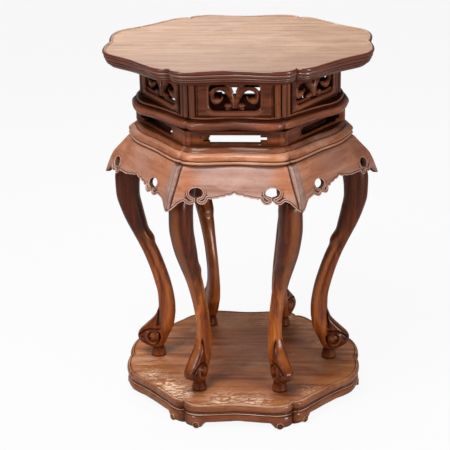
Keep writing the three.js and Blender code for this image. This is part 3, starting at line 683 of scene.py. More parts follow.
# The plinth's edge as [inset, rise, carve level, stain]
# The rim is painted pale, wear with painted highlight; the incised line and the gap under the board are
# painted dark as shade
BASE_EDGE = [[12, 0, 0, 0], [7.4, -0.1, 0.1, 0.1], [6.8, -0.9, 0.8, 0.4], [6, -0.9, 0.8, 0.4],
             [5.4, -0.1, -0.7, 0.3], [4.4, 0, -0.6, 0.5], [2.8, -0.5, -0.2, 0.6], [1.2, -1.7, 0, 0.65],
             [0.3, -3.6, 0, 0.7], [0, -6, 0, 0.75], [0.3, -8.6, 0, 0.8], [1.2, -11, 0.05, 0.85],
             [2.4, -12.6, 0.3, 0.9], [3.2, -13.2, 0.95, 1], [2.8, -13.9, 0.2, 1], [2.6, -14.8, -0.15, 1],
             [3.2, -15.6, 0.9, 1], [6, -16, 1, 1]]
BASE_CORNER_DARKENING = 0.4
# Rubbed places, and darker places, of the plinth's board: [x, y, reach, strength]; the darker ones are the
# painted shadow of the table and of its feet, with dirt
RUBBED = [[-124, -118, 22, 1.3], [-100, -146, 20, 1.2], [-150, -80, 18, 0.8], [-24, -172, 26, 0.9],
          [30, -174, 24, 0.7], [-160, -30, 20, 0.3], [120, -128, 20, 0.3], [56, 150, 30, 0.4],
          [150, 60, 20, 0.4]]
SHADOW_AND_DIRT = [[0, -20, 120, 0.55], [60, 30, 90, 0.25], [-86, -136, 20, 0.5], [86, -136, 26, 0.6],
          [140, -80, 34, 0.4], [-150, 0, 22, 0.35], [158, 0, 26, 0.45], [-30, -60, 40, 0.3],
          [40, -90, 30, 0.35], [-120, -60, 26, 0.3], [112, -112, 16, 0.6], [60, -150, 18, 0.3],
          [0, 90, 60, 0.3]]


def blobs(points, places):
    total = np.zeros(len(points))
    for x, y, reach, strength in places:
        total += strength * np.exp(-((points[:, 0] - x) ** 2 + (points[:, 1] - y) ** 2) / reach ** 2)
    return np.clip(total, 0, 1)


def add_plinth_board():
    lobed_board(from_edge(BASE_RADIUS, BASE_TOP, BASE_EDGE), BASE_LOBES,
                ["base_plank_front", "base_plank_middle", "base_plank_back"], "base_wood",
                BASE_RADIUS * HALF_DEPTH + BASE_LOBES.broad, 1.9,
                lambda p: blobs(p, SHADOW_AND_DIRT), lambda p: blobs(p, RUBBED), BASE_CORNER_DARKENING)


# Mitred lengths of moulding, with sections of [radius, z, carve level, stain] rows
MOULDING_STEPS = 44
# Bead levels: dark low on the beads and on the hidden inner faces as painted shade, pale near the crests as
# wear with painted highlight
UPPER_MOULDING = [
    [FRAME_INNER_RADIUS, UPPER_MOULDING_Z, 0.9, 0],
    *from_edge(UPPER_MOULDING_RADIUS, UPPER_MOULDING_Z, [[10, 0, 0.8, 0], [9.4, 0.6, 0.9, 0]]),
    *bead(UPPER_MOULDING_RADIUS - 8, UPPER_MOULDING_Z + 8.4, 7.8, 8,
          [0.8, 0.5, 0.3, 0.1, 0, 0, 0, -0.1, -0.3, -0.4, -0.2, 0, 0.2, 0.5, 0.7], 0),
    *from_edge(UPPER_MOULDING_RADIUS, UPPER_MOULDING_TOP,
               [[8.8, -3, 0.9, 0], [7.6, -1.6, -0.6, 0], [8.4, -0.2, -0.3, 0], [11, 0, 0.7, 0]]),
    [FRAME_INNER_RADIUS, UPPER_MOULDING_TOP, 0.9, 0]]
LOWER_MOULDING = [
    [FRAME_INNER_RADIUS, LOWER_MOULDING_Z, 0.9, 1],
    *bead(FRAME_RADIUS - 2.4, LOWER_MOULDING_Z + 2.8, 2.6, 2.4,
          [1, 0.5, 0.2, 0, -0.3, -0.5, -0.4, 0, 0.3], 0.2),
    *from_edge(FRAME_RADIUS, LOWER_MOULDING_Z, [
        [3, 5.7, 0.75, 0.5], [1.4, 6.4, 0.3, 0.1], [0.4, 7.6, 0.1, 0.1], [0, 9.4, 0, 0.1],
        [0.4, 11.4, 0, 0.1], [1.6, 13.3, -0.1, 0.1], [3.4, 15, -0.3, 0.1], [5.6, 16.3, -0.4, 0.1],
        [8, 17.1, -0.4, 0.1], [9.6, 17.3, -0.2, 0.1], [10.4, 16.9, 0.85, 0.5], [11.2, 17.6, 0.3, 0.6],
        [12.2, 19, 0.1, 0.7], [13.6, 21, 0.1, 0.8], [15, 22.8, 0.2, 0.9]]),
    [FRAME_RADIUS - 16.4, LOWER_MOULDING_TOP, 0.5, 1],
    [FRAME_INNER_RADIUS, LOWER_MOULDING_TOP, 0.9, 1]]


def add_moulding(k, kind, section, lobes, slot, shift, straight_inside=False):
    radius, z, carve, stain = np.array(section, float).T
    inner = (radius == FRAME_INNER_RADIUS) & straight_inside
    loops = []
    for t in mitred_steps(k, MOULDING_STEPS):
        plan = side_point(k, t, radius, lobes)
        plan[inner] = corner(k) * FRAME_INNER_RADIUS * (1 - t) + corner(k + 1) * FRAME_INNER_RADIUS * t
        loops.append(raised(plan, z))
    add_carved(kind + SIDE_NAMES[k], *loft(loops), slot, side_grain(k), np.tile(carve, len(loops)), shift,
               stain=np.tile(stain, len(loops)))


def add_mouldings(k):
    add_moulding(k, "upper_moulding_", UPPER_MOULDING, UPPER_MOULDING_LOBES, "moulding_wood", 0.31 * k, True)
    add_moulding(k, "lower_moulding_", LOWER_MOULDING, LOWER_MOULDING_LOBES, "lower_moulding_wood",
                 0.47 * k + 0.2)


# Flat boards of the two waists
def upright(k, radius, z0, step=0):
    """Sets [distance from the side's middle, height] and depth in space, on side k's upright plane."""
    middle = (corner(k) + corner(k + 1)) / 2 @ along(k) * radius
    distance = normal(k) @ corner(k) * radius + step

    def place(flat, depth):
        out = distance + np.broadcast_to(depth, len(flat))
        return raised(along(k) * (flat[:, :1] + middle) + normal(k) * out[:, None], flat[:, 1] + z0)

    return place


# Openings of the upper waist, and the panels' rolled face with its round edge
OPENING_HEIGHT, OPENING_RADIUS, OPENING_RISE = 41.5, 8.5, 11
OPENING_INSET = {"slanted": 28.5, "straight": 34.6}
OPENING_LINES = (2.2, 3, 3.9, 5.2, 7, 8.8)
PANEL_INSET = 15
PANEL_BACK = -9.0
PANEL_SPACING, PANEL_ROWS = 2.4, [0.5, 1, 1.6]
PANEL_ROLL = 1.1
EDGE_ROUND, EDGE_REACH = 3.6, 4.6


def add_upper_panel(k):
    place = upright(k, UPPER_WAIST_RADIUS, UPPER_WAIST_Z, WAIST_STEP)
    length = side_length(k, UPPER_WAIST_RADIUS)
    left, right = [length / 2 - PANEL_INSET - (POINT_PULL * 0.55 if is_point(n) else 0) for n in (k, k + 1)]
    width = length - 2 * OPENING_INSET[side_kind(k)]
    height = UPPER_WAIST_TOP - UPPER_WAIST_Z
    outline = np.array([[-left, 0], [right, 0], [right, height], [-left, height]])

    def opening(out):
        return rounded_rectangle(width + 2 * out, OPENING_HEIGHT + 2 * out, OPENING_RADIUS + out,
                                 OPENING_RISE - out)

    hole = opening(0)

    def front(flat):
        s, z = flat.T
        from_hole = distance_to(flat, hole, True)
        from_rim = np.minimum.reduce([right - s, left + s, z, height - z])
        inward, outer = np.maximum(from_hole - 3, 0), np.maximum(from_rim - 1.8, 0)
        across = inward / np.maximum(inward + outer, 0.01)
        roll = PANEL_ROLL * np.sqrt(np.clip(1 - across ** 2, 0, 1))
        edge_round = EDGE_ROUND * (1 - np.sqrt(1 - (1 - np.clip(from_hole / EDGE_REACH, 0, 1)) ** 2))
        cuts = hump(from_rim, 1.4, 0.8)
        # A pale band on the roll under the opening: painted highlight
        roll_highlight = 0.5 * hump(from_hole, 5, 4) * (z < OPENING_RISE)
        level = 0.85 * cuts - 0.25 * hump(from_hole, 2, 1.4) - roll_highlight + 0.7 * hump(from_hole, 0, 0.9)
        return place(flat, roll - edge_round - 0.7 * cuts - 0.5), level

    frame_line = rounded_rectangle(left + right - 2.8, height - 2.8, 0.5, 1.4, 1) + [(right - left) / 2, 0]
    creases = [respaced(opening(out), 2.2) for out in OPENING_LINES] + [respaced(frame_line, 2)]
    points, faces, levels, _ = plate(outline, [hole], PANEL_SPACING, PANEL_ROWS, front,
                                     lambda flat: place(flat, PANEL_BACK), creases)
    add_carved("upper_panel_" + SIDE_NAMES[k], points, faces, "waist_wood", side_grain(k), levels,
               0.23 * k + 0.6)
    add_fretwork(k, place, width)


# Fretwork of half an opening as [distance from the middle, height, width]; its balls as [distance, height,
# width, height]; a ball's rings as [share of its size, depth, carve level]
SCROLL_LINE = [[3.3, 1, 6.4], [3.3, 9, 6.6], [4.2, 15.6, 7.6], [6.6, 21.4, 9.6], [9.8, 26.6, 10],
               [14, 29.8, 8], [19.5, 31.2, 6.2], [25, 30.8, 6.4], [30.4, 28.2, 7], [33, 22, 7.2],
               [31.4, 15.6, 7.8], [28, 11.6, 9], [23.4, 12.8, 7.4], [19.8, 15.8, 5], [17.4, 19, 2.4]]
REED_LINE = [[0, 1, 2.6], [0, 8, 2.8], [0, 16, 2.6], [0, 21.5, 1.6]]
TIES = [[[4.6, 24, 7.6], [7.4, 30, 8.4], [10, 35, 9.6], [11, 41.5, 11]],
        [[0, 38, 9], [6, 38, 9], [11, 38.5, 8]], [[34, 25, 6], [42, 25.4, 7]], [[9.4, 4, 8], [9.4, -1.5, 9]]]
LOW_TIE = [[8, 1, 7], [18, 0, 5], [28, 0, 4.6], [37, 1, 6]]
BALLS = [[26.4, 13.2, 12.4, 11.4], [9.6, 5.2, 12.4, 8.8]]
BALL_RINGS = [[1, -4, 0.9], [1, 0, 0.6], [0.93, 1.6, 0.2], [0.78, 2.9, 0], [0.55, 3.8, -0.2],
              [0.3, 4.2, -0.4], [0.05, 4.3, -0.4]]
BALL_COUNT = 24
BAND_LEVELS = [-0.1, -0.45, -0.2, 0.15, 0.5, 0.6, 0.7, 0.9, 1, 1, 0.9, 0.4]
FRETWORK_RISE = 12.5
FRETWORK_DEPTH = 5.6
FRETWORK_WIDTH = side_length(FRONT_SIDE, UPPER_WAIST_RADIUS) - 73


def carved_band(line, stretch, side):
    """A round-backed band along one line, as [distance, height, depth] loops."""
    path = curve_through(line, 6)
    path *= [stretch, 1, stretch ** 0.7]
    step = np.gradient(path[:, :2], axis=0)
    step /= np.hypot(*step.T)[:, None]
    cosine, sine = np.cos(circle(len(BAND_LEVELS))), np.sin(circle(len(BAND_LEVELS)))
    loops = []
    for (s, z, width), (a, b) in zip(path, step):
        across = cosine * width / 2
        proud = np.where(sine > 0, sine * min(width / 2, 2.6) * 1.1, sine * 4.6)
        loops.append(np.column_stack([side * (s - b * across), z + a * across + FRETWORK_RISE, proud]))
    return loops


def add_fretwork(k, place, width):
    stretch = width / FRETWORK_WIDTH
    parts = []
    for side in (-1, 1):
        for line in [SCROLL_LINE, *TIES, *[REED_LINE] * (side > 0), *[LOW_TIE] * is_slanted(k)]:
            band = carved_band(line, stretch, side)
            loops = [place(loop[:, :2], loop[:, 2] - FRETWORK_DEPTH) for loop in band]
            parts.append((*loft(loops), np.tile(BAND_LEVELS, len(loops))))
        for s, z, wide, tall in BALLS:
            dome = []
            for share, proud, _ in BALL_RINGS:
                ring = ellipse(wide * share * stretch, tall * share, side * stretch * s, z + FRETWORK_RISE,
                               BALL_COUNT)
                dome.append(place(ring, proud - FRETWORK_DEPTH))
            parts.append((*loft(dome), np.repeat([level for _, _, level in BALL_RINGS], BALL_COUNT)))
    points, faces, levels = joined(parts)
    add_piece("fretwork_" + SIDE_NAMES[k], points, faces, "waist_wood", side_grain(k), levels, 0.29 * k + 1.1)


# Half of a corner post as [distance from the corner, depth, carve level]: its edge, a bead, its ridge
POST_EDGE = [[14.9, -5, 0.9], [14.9, 4.6, 0.8], [13.4, 4.4, 0.7], [12.7, 4.4, 0.7]]
POST_BEAD, POST_BEAD_HALF = 7.7, 4.5
POST_BEAD_LEVELS = [0.4, 0.05, -0.1, -0.15, -0.15, -0.15, -0.1, 0, 0.5]
POST_RIDGE = [[2.8, 3.8, 1], [2.2, 3.8, 1], [1.8, 5, 0.5], [1, 5.9, 0.1], [-0.8, 6.2, -0.1]]
POST_TIP, POST_BACK = 6.9, 6.5
POST_ROWS = 9
POST_STAIN = 0.35


def add_corner_post(k):
    tip = corner(k) * (UPPER_WAIST_RADIUS - (POINT_PULL if is_point(k) else 0))
    strip = list(POST_EDGE)
    for a, level in zip(np.linspace(0, math.pi, len(POST_BEAD_LEVELS)), POST_BEAD_LEVELS):
        strip.append([POST_BEAD + POST_BEAD_HALF * math.cos(a), 4.6 + 1.5 * math.sin(a) ** 0.7, level])
    strip += POST_RIDGE
    halves = []
    for towards, side in ((k - 1, k - 1), (k + 1, k)):
        way = corner(towards) - corner(k)
        way = way / np.linalg.norm(way)
        halves.append([tip + way * s + normal(side) * out for s, out, _ in strip])
    plan = np.array([*halves[0], tip + corner_way(k) * POST_TIP, *halves[1][::-1],
                     tip - corner_way(k) * POST_BACK])
    levels = [level for _, _, level in strip]
    levels = [*levels, -0.3, *levels[::-1], 0.9]
    points, faces = loft([raised(plan, z) for z in np.linspace(UPPER_WAIST_Z, UPPER_WAIST_TOP, POST_ROWS)])
    name = CORNER_NAMES[k]
    add_carved("corner_post_" + name, points, faces, "waist_wood", UP, np.tile(levels, POST_ROWS),
               0.41 * k + 0.9, stain=0 if name == "front_right" else POST_STAIN)


# Slots of the lower waist, with narrow stepped ends
SLOT_HEIGHT, SLOT_RISE, SLOT_STEP = 13, 4, 6.5
SLOT_FRAME_Z, SLOT_FRAME_TOP = 2.2, 20.4
WAIST_BACK = -8.5
WAIST_SPACING, WAIST_ROWS = 2.2, [0.8, 1.6, 2.4]


def add_lower_waist(k):
    place = upright(k, LOWER_WAIST_RADIUS, LOWER_WAIST_Z)
    half = (side_length(k, LOWER_WAIST_RADIUS) - GAP) / 2
    half_back = (side_length(k, LOWER_WAIST_RADIUS - 10) - GAP) / 2
    height = LOWER_WAIST_TOP - LOWER_WAIST_Z
    outline = np.array([[-half, 0], [half, 0], [half, height], [-half, height]])
    low = (SLOT_HEIGHT - SLOT_STEP) / 2
    high = low + SLOT_STEP
    ends = [slot_end(k, n) for n in (k, k + 1)]
    left, right = ([[s, 0], [s, low], [s + step, low], [s + step, high], [s, high], [s, SLOT_HEIGHT]]
                   for s, step in ends)
    hole = np.array(right + [[-s, z] for s, z in left[::-1]]) + [0, SLOT_RISE]
    frame_left, frame_right = (sum(end) + 4.5 for end in ends)
    border = np.array([[-frame_left, SLOT_FRAME_Z], [frame_right, SLOT_FRAME_Z],
                       [frame_right, SLOT_FRAME_TOP], [-frame_left, SLOT_FRAME_TOP]])

    def front(flat):
        from_border, from_hole = distance_to(flat, border, True), distance_to(flat, hole, True)
        from_end = half - np.abs(flat[:, 0])
        below = hump(flat[:, 1], SLOT_RISE - 2.4, 1.5) * (np.abs(flat[:, 0]) < 39)
        strip = hump(from_end, 5, 3.6)
        cuts = hump(from_hole, 1.8, 0.8) + 0.7 * hump(from_end, 10, 0.9) + 0.8 * hump(from_end, 0, 1)
        depth = 0.5 * below + 0.8 * strip - 0.6 * cuts - 0.5 * hump(from_border, 0, 0.7)
        level = 0.7 * cuts + 0.35 * hump(from_border, 0, 0.9) - 0.6 * below - 0.2 * strip
        level += 0.4 * hump(from_hole, 0, 0.5) - 0.3 * hump(from_hole, 0.8, 0.5)
        return drawn_out(k, half, flat, place(flat, depth)), level

    def back(flat):
        moved = flat.copy()
        moved[:, 0] -= np.sign(flat[:, 0]) * (half - half_back) * ease(np.abs(flat[:, 0]) / half, 0.8, 1)
        return drawn_out(k, half, flat, place(moved, WAIST_BACK))

    frame_line = rounded_rectangle(frame_left + frame_right, 17.4, 0.5, SLOT_RISE - 2.2, 1)
    frame_line += [(frame_right - frame_left) / 2, 0]
    points, faces, levels, _ = plate(outline, [hole], WAIST_SPACING, WAIST_ROWS, front, back,
                                     [respaced(frame_line, 2)])
    add_carved("lower_waist_" + SIDE_NAMES[k], points, faces, "waist_wood", side_grain(k), levels,
               0.19 * k + 1.5)


def slot_end(k, n):
    """Half the slot's length towards corner n, and the length of its narrow end."""
    if not is_slanted(k):
        return 39, 10
    return (60, 9) if is_point(n) else (38, 4)


def drawn_out(k, half, flat, points):
    """The board's ends at the table's two side corners stand out a little."""
    for n, distance in ((k, half + flat[:, 0]), (k + 1, half - flat[:, 0])):
        if is_point(n):
            points[:, :2] += corner(n) * (3 * fall(distance, 0, 46))[:, None]
    return points


# Apron. Its lower edge at a corner as [inset, height], around a ruyi head and in the middle as [distance,
# height]
APRON_DROP, APRON_REACH, APRON_FLARE, APRON_THICKNESS = 63, 39.5, 0.66, 8
TIP_Z = LEG_TOP - APRON_DROP
TIP_RADIUS = FRAME_RADIUS + APRON_REACH
RUYI_WIDTH, RUYI_HEIGHT, RUYI_RISE, RUYI_SLIT = 21.4, 14.2, 24.6, 1.8
TIP_EDGE = [[-4, -3.6], [0, -3], [4, -1.4], [8, 1.8], [12.6, 5.6], [16, 8.8], [18.8, 10.6]]
HEAD_RIGHT = [[20, 12.5], [18.6, 12.6], [16.6, 11.4], [14.6, 9.2], [11, 7.9], [6.6, 8.2], [3, 9.8],
              [0.9, 12.2]]
HEAD_LEFT = [[-0.9, 12.2], [-3, 9.8], [-6.6, 8.2], [-11, 7.9], [-14.6, 9.8], [-17.4, 13], [-18.6, 16.6],
             [-20.6, 15.8], [-23, 15.2], [-25.4, 16.2]]
MIDDLE_EDGE = [[25, 17], [22, 18.6], [17.6, 18.6], [13.6, 19.2], [12.4, 21.2], [8.4, 20.6], [4, 21.6],
               [0, 24.2]]
APRON_SPACING = 2.3
APRON_ROWS = [0.5, 1.0, 1.7, 2.3, 3.0, 3.6, 4.3, 4.9]
HEAD_MIDDLE = 18
PEG_HOLE = [-84, 31]


def apron_radius(drop):
    return FRAME_RADIUS + APRON_REACH * np.clip(drop / APRON_DROP, 0, 1.2) ** APRON_FLARE


def straight_ridge(drop):
    """Half width of the corner ridge on the front and back aprons."""
    return 7.0 - 3.0 * ease(drop, 20, 60)


def ruyi_inset(k, end):
    if not is_slanted(k):
        return 43.8
    return 39 if is_point(k + end) else 62


def half_edge(k, end):
    """Lower edge from the corner at one end of side k to its middle."""
    half = side_length(k, TIP_RADIUS) / 2
    head = half - ruyi_inset(k, end)
    widen = half / (side_length(FRONT_SIDE, TIP_RADIUS) / 2)
    wide = 1.4 if is_slanted(k) and not is_point(k + end) else 1
    return np.vstack([rounded([[half - inset * wide, z] for inset, z in TIP_EDGE]),
                      *(rounded([[head + s, z] for s, z in edge]) for edge in (HEAD_RIGHT, HEAD_LEFT)),
                      rounded([[s * widen, z] for s, z in MIDDLE_EDGE if s * widen < head - 26])])


def with_ruyi(outline, head):
    """The outline with an oval at one head, open down to the lower edge through a narrow slit."""
    half = RUYI_SLIT / 2
    below = np.where((np.abs(outline[:, 0] - head) < 1.0) & (outline[:, 1] < 14))[0]
    first, last = below.min(), below.max()
    ring = ellipse(RUYI_WIDTH, RUYI_HEIGHT, head, RUYI_RISE, 40)
    ring = ring[np.argsort(np.arctan2(ring[:, 1] - RUYI_RISE, ring[:, 0] - head))]
    ring = np.roll(ring, -np.argmin(ring[:, 1]), axis=0)[1:]
    ring = ring[~((np.abs(ring[:, 0] - head) < half + 0.3) & (ring[:, 1] < RUYI_RISE))]
    foot = RUYI_RISE - RUYI_HEIGHT / 2 + 0.15
    passage = np.vstack([[head + half, foot], ring, [head - half, foot]])
    if outline[first, 0] < outline[last, 0]:
        passage = passage[::-1]
    return np.vstack([outline[:first + 1], passage, outline[last:]])


def add_apron(k):
    slanted = is_slanted(k)
    unit = side_length(k, 1)
    start = corner(k) @ along(k)
    middle = (corner(k) + corner(k + 1)) / 2 @ along(k) * TIP_RADIUS
    heads = [sign * (side_length(k, TIP_RADIUS) / 2 - ruyi_inset(k, end)) for sign, end in ((1, 1), (-1, 0))]
    drops = np.linspace(APRON_DROP, 0, 22)

    def end_line(drops, sign, inset):
        """The apron's end at one corner, or a line at a distance inside it."""
        end = (start + unit * (0.5 + sign * 0.5)) * apron_radius(drops) - middle
        return np.column_stack([end - sign * (GAP / 2 + 0.1) - sign * inset, APRON_DROP - drops])

    right_line, left_line = end_line(drops, 1, 0), end_line(drops, -1, 0)
    right, left = half_edge(k, 1), half_edge(k, 0)[:-1] * [-1, 1]
    right = right[right[:, 0] < right_line[0, 0] - 0.4]
    left = left[left[:, 0] > left_line[0, 0] + 0.4]
    outline = np.vstack([right_line[::-1], right, left[::-1], left_line])
    for head in heads:
        outline = with_ruyi(outline, head)
    lower_rim = respaced(outline, 2)
    lower_rim = lower_rim[lower_rim[:, 1] < 45]
    from_ends = np.minimum(distance_to(lower_rim, right_line), distance_to(lower_rim, left_line))
    lower_rim = lower_rim[from_ends > 0.8]

    def surface(flat, back=0.0):
        """Plan points on the flared face, and where they lie on it."""
        drop = APRON_DROP - flat[:, 1]
        radius = apron_radius(drop)
        t = np.clip(((flat[:, 0] + middle) / radius - start) / unit, 0, 1)
        from_corner = np.minimum(t, 1 - t) * side_length(k, FRAME_RADIUS + APRON_REACH / 2)
        at_point = is_point(k) & (t < 0.5) | is_point(k + 1) & (t >= 0.5)
        ridge = np.where(at_point, 10.0, 15.0) if slanted else straight_ridge(drop)
        share = np.clip(from_corner / ridge, 0, 1)
        swell = np.sqrt(1 - share ** 2)
        if slanted:
            swell = np.cos(share * math.pi / 2) * np.where(at_point, 0.5, 1)
        nearest = np.where(t[:, None] < 0.5, corner_way(k), corner_way(k + 1))
        pull = np.where(at_point, 4.5 - 5.5 * ease(drop, 8, 34), -0.8) * fall(from_corner, 0, 50)
        lift = (3.5 * swell * (1 - 0.5 * ease(drop, 40, 63)) - pull) / (nearest @ normal(k))
        plan = side_point(k, t, radius - back, APRON_LOBES) + nearest * lift[:, None]
        return plan, from_corner, ridge, drop, at_point

    def front(flat):
        plan, from_corner, ridge, drop, at_point = surface(flat)
        relief, level = apron_carving(flat, distance_to(flat, lower_rim), heads)
        crease = hump(from_corner, ridge, 4 if slanted else 1.6)
        relief -= (0.2 if slanted else 1.2) * crease
        level += (0.1 if slanted else 1.1) * crease * fall(drop, 57, 63) + 0.7 * hump(drop, 0, 2.5)
        level += np.where(at_point, 0, 0.2) * fall(from_corner, ridge - 2, ridge + 1)
        if k == FRONT_SIDE:
            level += 1.5 * hump(np.hypot(*(flat - PEG_HOLE).T), 0, 2)
        return raised(plan + normal(k) * relief[:, None], TIP_Z + flat[:, 1]), np.clip(level, -1, 1)

    def back(flat):
        return raised(surface(flat, APRON_THICKNESS - 1)[0], TIP_Z + flat[:, 1])

    creases = []
    if not slanted:
        drops = np.linspace(1, APRON_DROP, 30)
        creases = [end_line(drops, sign, straight_ridge(drops) + out)
                   for sign in (1, -1) for out in (-1.4, -0.7, 0, 0.7, 1.4)]
    points, faces, levels, flat = plate(outline, [], APRON_SPACING, APRON_ROWS, front, back, creases)
    _, from_corner, ridge, _, at_point = surface(flat)
    # The ridges stay unstained, a grey-pink band that is partly the wood's tone and partly painted sheen
    beside = np.where(at_point, 1, ease(from_corner, ridge - 5, ridge + 5))
    add_carved("apron_" + SIDE_NAMES[k], points, faces, "apron_wood", side_grain(k), levels, 0.53 * k + 2.2,
               stain=apron_warmth_and_sheen(k, flat) * beside * (1 - 0.6 * fall(flat[:, 1], 14, 30)))


def apron_carving(flat, edge, heads):
    """Relief and carve level of the rim, doubled around the ruyi heads, by the distance to the lower edge."""
    s, z = flat.T
    from_head = np.minimum(np.abs(s - heads[0]), np.abs(s - heads[1]))
    in_head = fall(np.hypot(from_head, (z - HEAD_MIDDLE) * 1.15), 17.5, 20.5)
    above = ease(z, RUYI_RISE - 1, RUYI_RISE + 4) * in_head
    doubled = in_head * (1 - above)
    from_oval = np.hypot(from_head / RUYI_WIDTH, (z - RUYI_RISE) / RUYI_HEIGHT)
    relief = 0.9 * hump(edge, 0.9, 1.0) - 0.9 * hump(edge, 2.3, 0.9) * (1 - 0.7 * above)
    relief += doubled * (0.8 * hump(edge, 3.6, 0.9) - 0.7 * hump(edge, 4.9, 0.8) + 0.5)
    level = 0.95 * hump(edge, 2.3, 0.9) * (1 - 0.75 * above) - hump(edge, 0.9, 0.8)
    level += 0.8 * hump(edge, 0, 0.4) + 0.5 * hump(from_oval, 0.86, 0.1) * above
    level += doubled * (0.95 * hump(edge, 4.9, 0.8) - 0.9 * hump(edge, 3.6, 0.8))
    return relief, level


def apron_warmth_and_sheen(k, flat):
    """Share of the warm stain: little in the middle of the front, much beside the ridges; where it is little,
    the pale grey-pink is partly the wood's tone and partly painted sheen.
    """
    reach = side_length(k, TIP_RADIUS) / 2
    if is_slanted(k):
        return 0.85 - 0.35 * hump(flat[:, 0], 0, reach * 0.5)
    return 0.1 + 0.85 * ease(np.abs(flat[:, 0]), reach * 0.42, reach * 0.72)


# Legs as [share of the height, outer and inner face from FRAME_RADIUS, width]
LEG_ROWS = np.array([
    [0.0470, -22, -48, 23], [0.0610, -13, -51.5, 26], [0.0770, -5.5, -54.5, 27], [0.0950, -4, -57.5, 27],
    [0.1159, -8, -62, 26], [0.1357, -16, -65.5, 25], [0.1825, -34, -69, 22], [0.2097, -39, -70, 20.5],
    [0.2343, -41.5, -70, 19.5], [0.2837, -41, -68.2, 18.5], [0.3453, -36.2, -63.5, 18.5],
    [0.4144, -28.5, -55.5, 20], [0.4859, -18.5, -45.5, 24], [0.518, -13, -40, 26.5], [0.5451, -8, -38.5, 30],
    [0.5821, -1, -30, 32], [0.6216, 6.5, -26, 34.5], [0.6808, 15.5, -21, 35.5], [0.74, 21.6, -17, 35.5],
    [0.814, 22.5, -19, 34], [0.8757, 15, -27, 32], [0.9373, 1, -34, 29], [1, -15, -37, 25]])
POINT_LEG_SCALE = 1.02
LEG_COUNT = 84
FOOT_LOW, FINE_TOP, FINE_STEP, COARSE_ROWS = 19.2, 104, 1.3, 84
FLANK_SCALE = 27
LEG_SHARP_ANGLE = 55
# Carving of a flank as [distance from the table's axis, height]: the scroll foot's spiral, pit and leaf
SPIRAL_CENTRE = np.array([152.0, 39.0])
SPIRAL_PIT = np.array([172.5, 38])
LEAF_CREASE = np.array([[142.5, 94], [143.4, 82], [144.2, 70], [145.4, 58], [146.4, 51], [143, 45],
                        [141.6, 39], [142.8, 32], [147.2, 25.4]])
LEAF_UNDER = [[147, 51], [152, 52.4], [159, 52.8], [166, 50.6], [172, 46.6], [177.5, 41]]
# The line down a flank as [share of the height, share of the depth]
SIDE_LINE = [[0.30, 0.60], [0.36, 0.56], [0.42, 0.55], [0.50, 0.57], [0.56, 0.62]]
# Turned pad under a scroll foot as [radius, height, carve level]
PAD_RADIUS = FRAME_RADIUS - 38.5
PAD_COUNT = 40
PAD_STAIN = 0.6
PAD = [[0.2, 0, 0.6], [11, 0, 0.7], [12.2, 0.8, 0.3], [12.7, 2.6, -0.2], [12.5, 5, -0.1], [11.8, 8, 0.1],
       [11, 11, 0.2], [10.2, 14, 0.4], [9.6, 17, 0.7], [8, 26, 1], [0.2, 26, 1]]


def add_legs():
    rises = np.concatenate([np.arange(FOOT_LOW, FINE_TOP, FINE_STEP),
                            np.linspace(FINE_TOP, LEG_HEIGHT, COARSE_ROWS)])
    share, *columns = LEG_ROWS.T
    outer, inner, width = (smooth_through(rises / LEG_HEIGHT, share, column) for column in columns)
    outer, inner = FRAME_RADIUS + outer, FRAME_RADIUS + inner
    cosine, sine = np.cos(circle(LEG_COUNT)), np.sin(circle(LEG_COUNT))
    power = (0.8 - 0.2 * fall(rises, 60, 110))[:, None]
    middle, half = ((outer + inner) / 2)[:, None], ((outer - inner) / 2)[:, None]
    radial = middle + half * np.sign(cosine) * np.abs(cosine) ** power
    across = (width / 2)[:, None] * np.sign(sine) * np.abs(sine) ** power
    flat = np.column_stack([radial.ravel(), np.repeat(rises, LEG_COUNT)])
    flank = ease(np.abs(np.tile(sine, len(rises))), 0.12, 0.5)
    relief, level = leg_relief(flat, np.repeat(inner, LEG_COUNT), np.repeat(outer, LEG_COUNT))
    across = across.ravel() + np.sign(across.ravel()) * relief * flank
    # The inner and outer faces are painted paler above the foot: painted highlight with wear
    level = level * flank - 0.35 * (1 - flank) * ease(flat[:, 1], 40, 60)
    crease_s, crease_z = LEAF_CREASE[4::-1].T
    beyond = ease(flat[:, 0] - np.interp(flat[:, 1], crease_z, crease_s), -1, 3)
    leaf = 0.75 * beyond * fall(flat[:, 1], 88, 96)
    stain = np.maximum(leaf, 0.35 * fall(flat[:, 1], 44, 56)) + 0.9 * ease(flat[:, 1], 130, 260)
    round_plan = np.column_stack([np.cos(circle(PAD_COUNT)), np.sin(circle(PAD_COUNT))])
    pad, pad_faces = loft([raised(round_plan * r, z) for r, z, _ in PAD])
    pad_level = np.repeat([row[2] for row in PAD], len(round_plan))
    stain = np.concatenate([stain, np.full(len(pad), PAD_STAIN)])
    for k, name in enumerate(CORNER_NAMES):
        way = corner_way(k)
        scale = POINT_LEG_SCALE if is_point(k) else np.linalg.norm(corner(k))
        plan = way * (flat[:, :1] * scale) + np.array([-way[1], way[0]]) * across[:, None]
        leg = loft(raised(plan, LEG_FOOT + flat[:, 1]).reshape(len(rises), LEG_COUNT, 3))
        pad_place = [*(way * PAD_RADIUS * scale), LEG_FOOT]
        points, faces, levels = joined([(*leg, level), (pad + pad_place, pad_faces, pad_level)])
        add_carved("leg_" + name, points, faces, "leg_wood", UP, levels, 0.61 * k + 3.1, stain=stain,
                   sharp=LEG_SHARP_ANGLE)


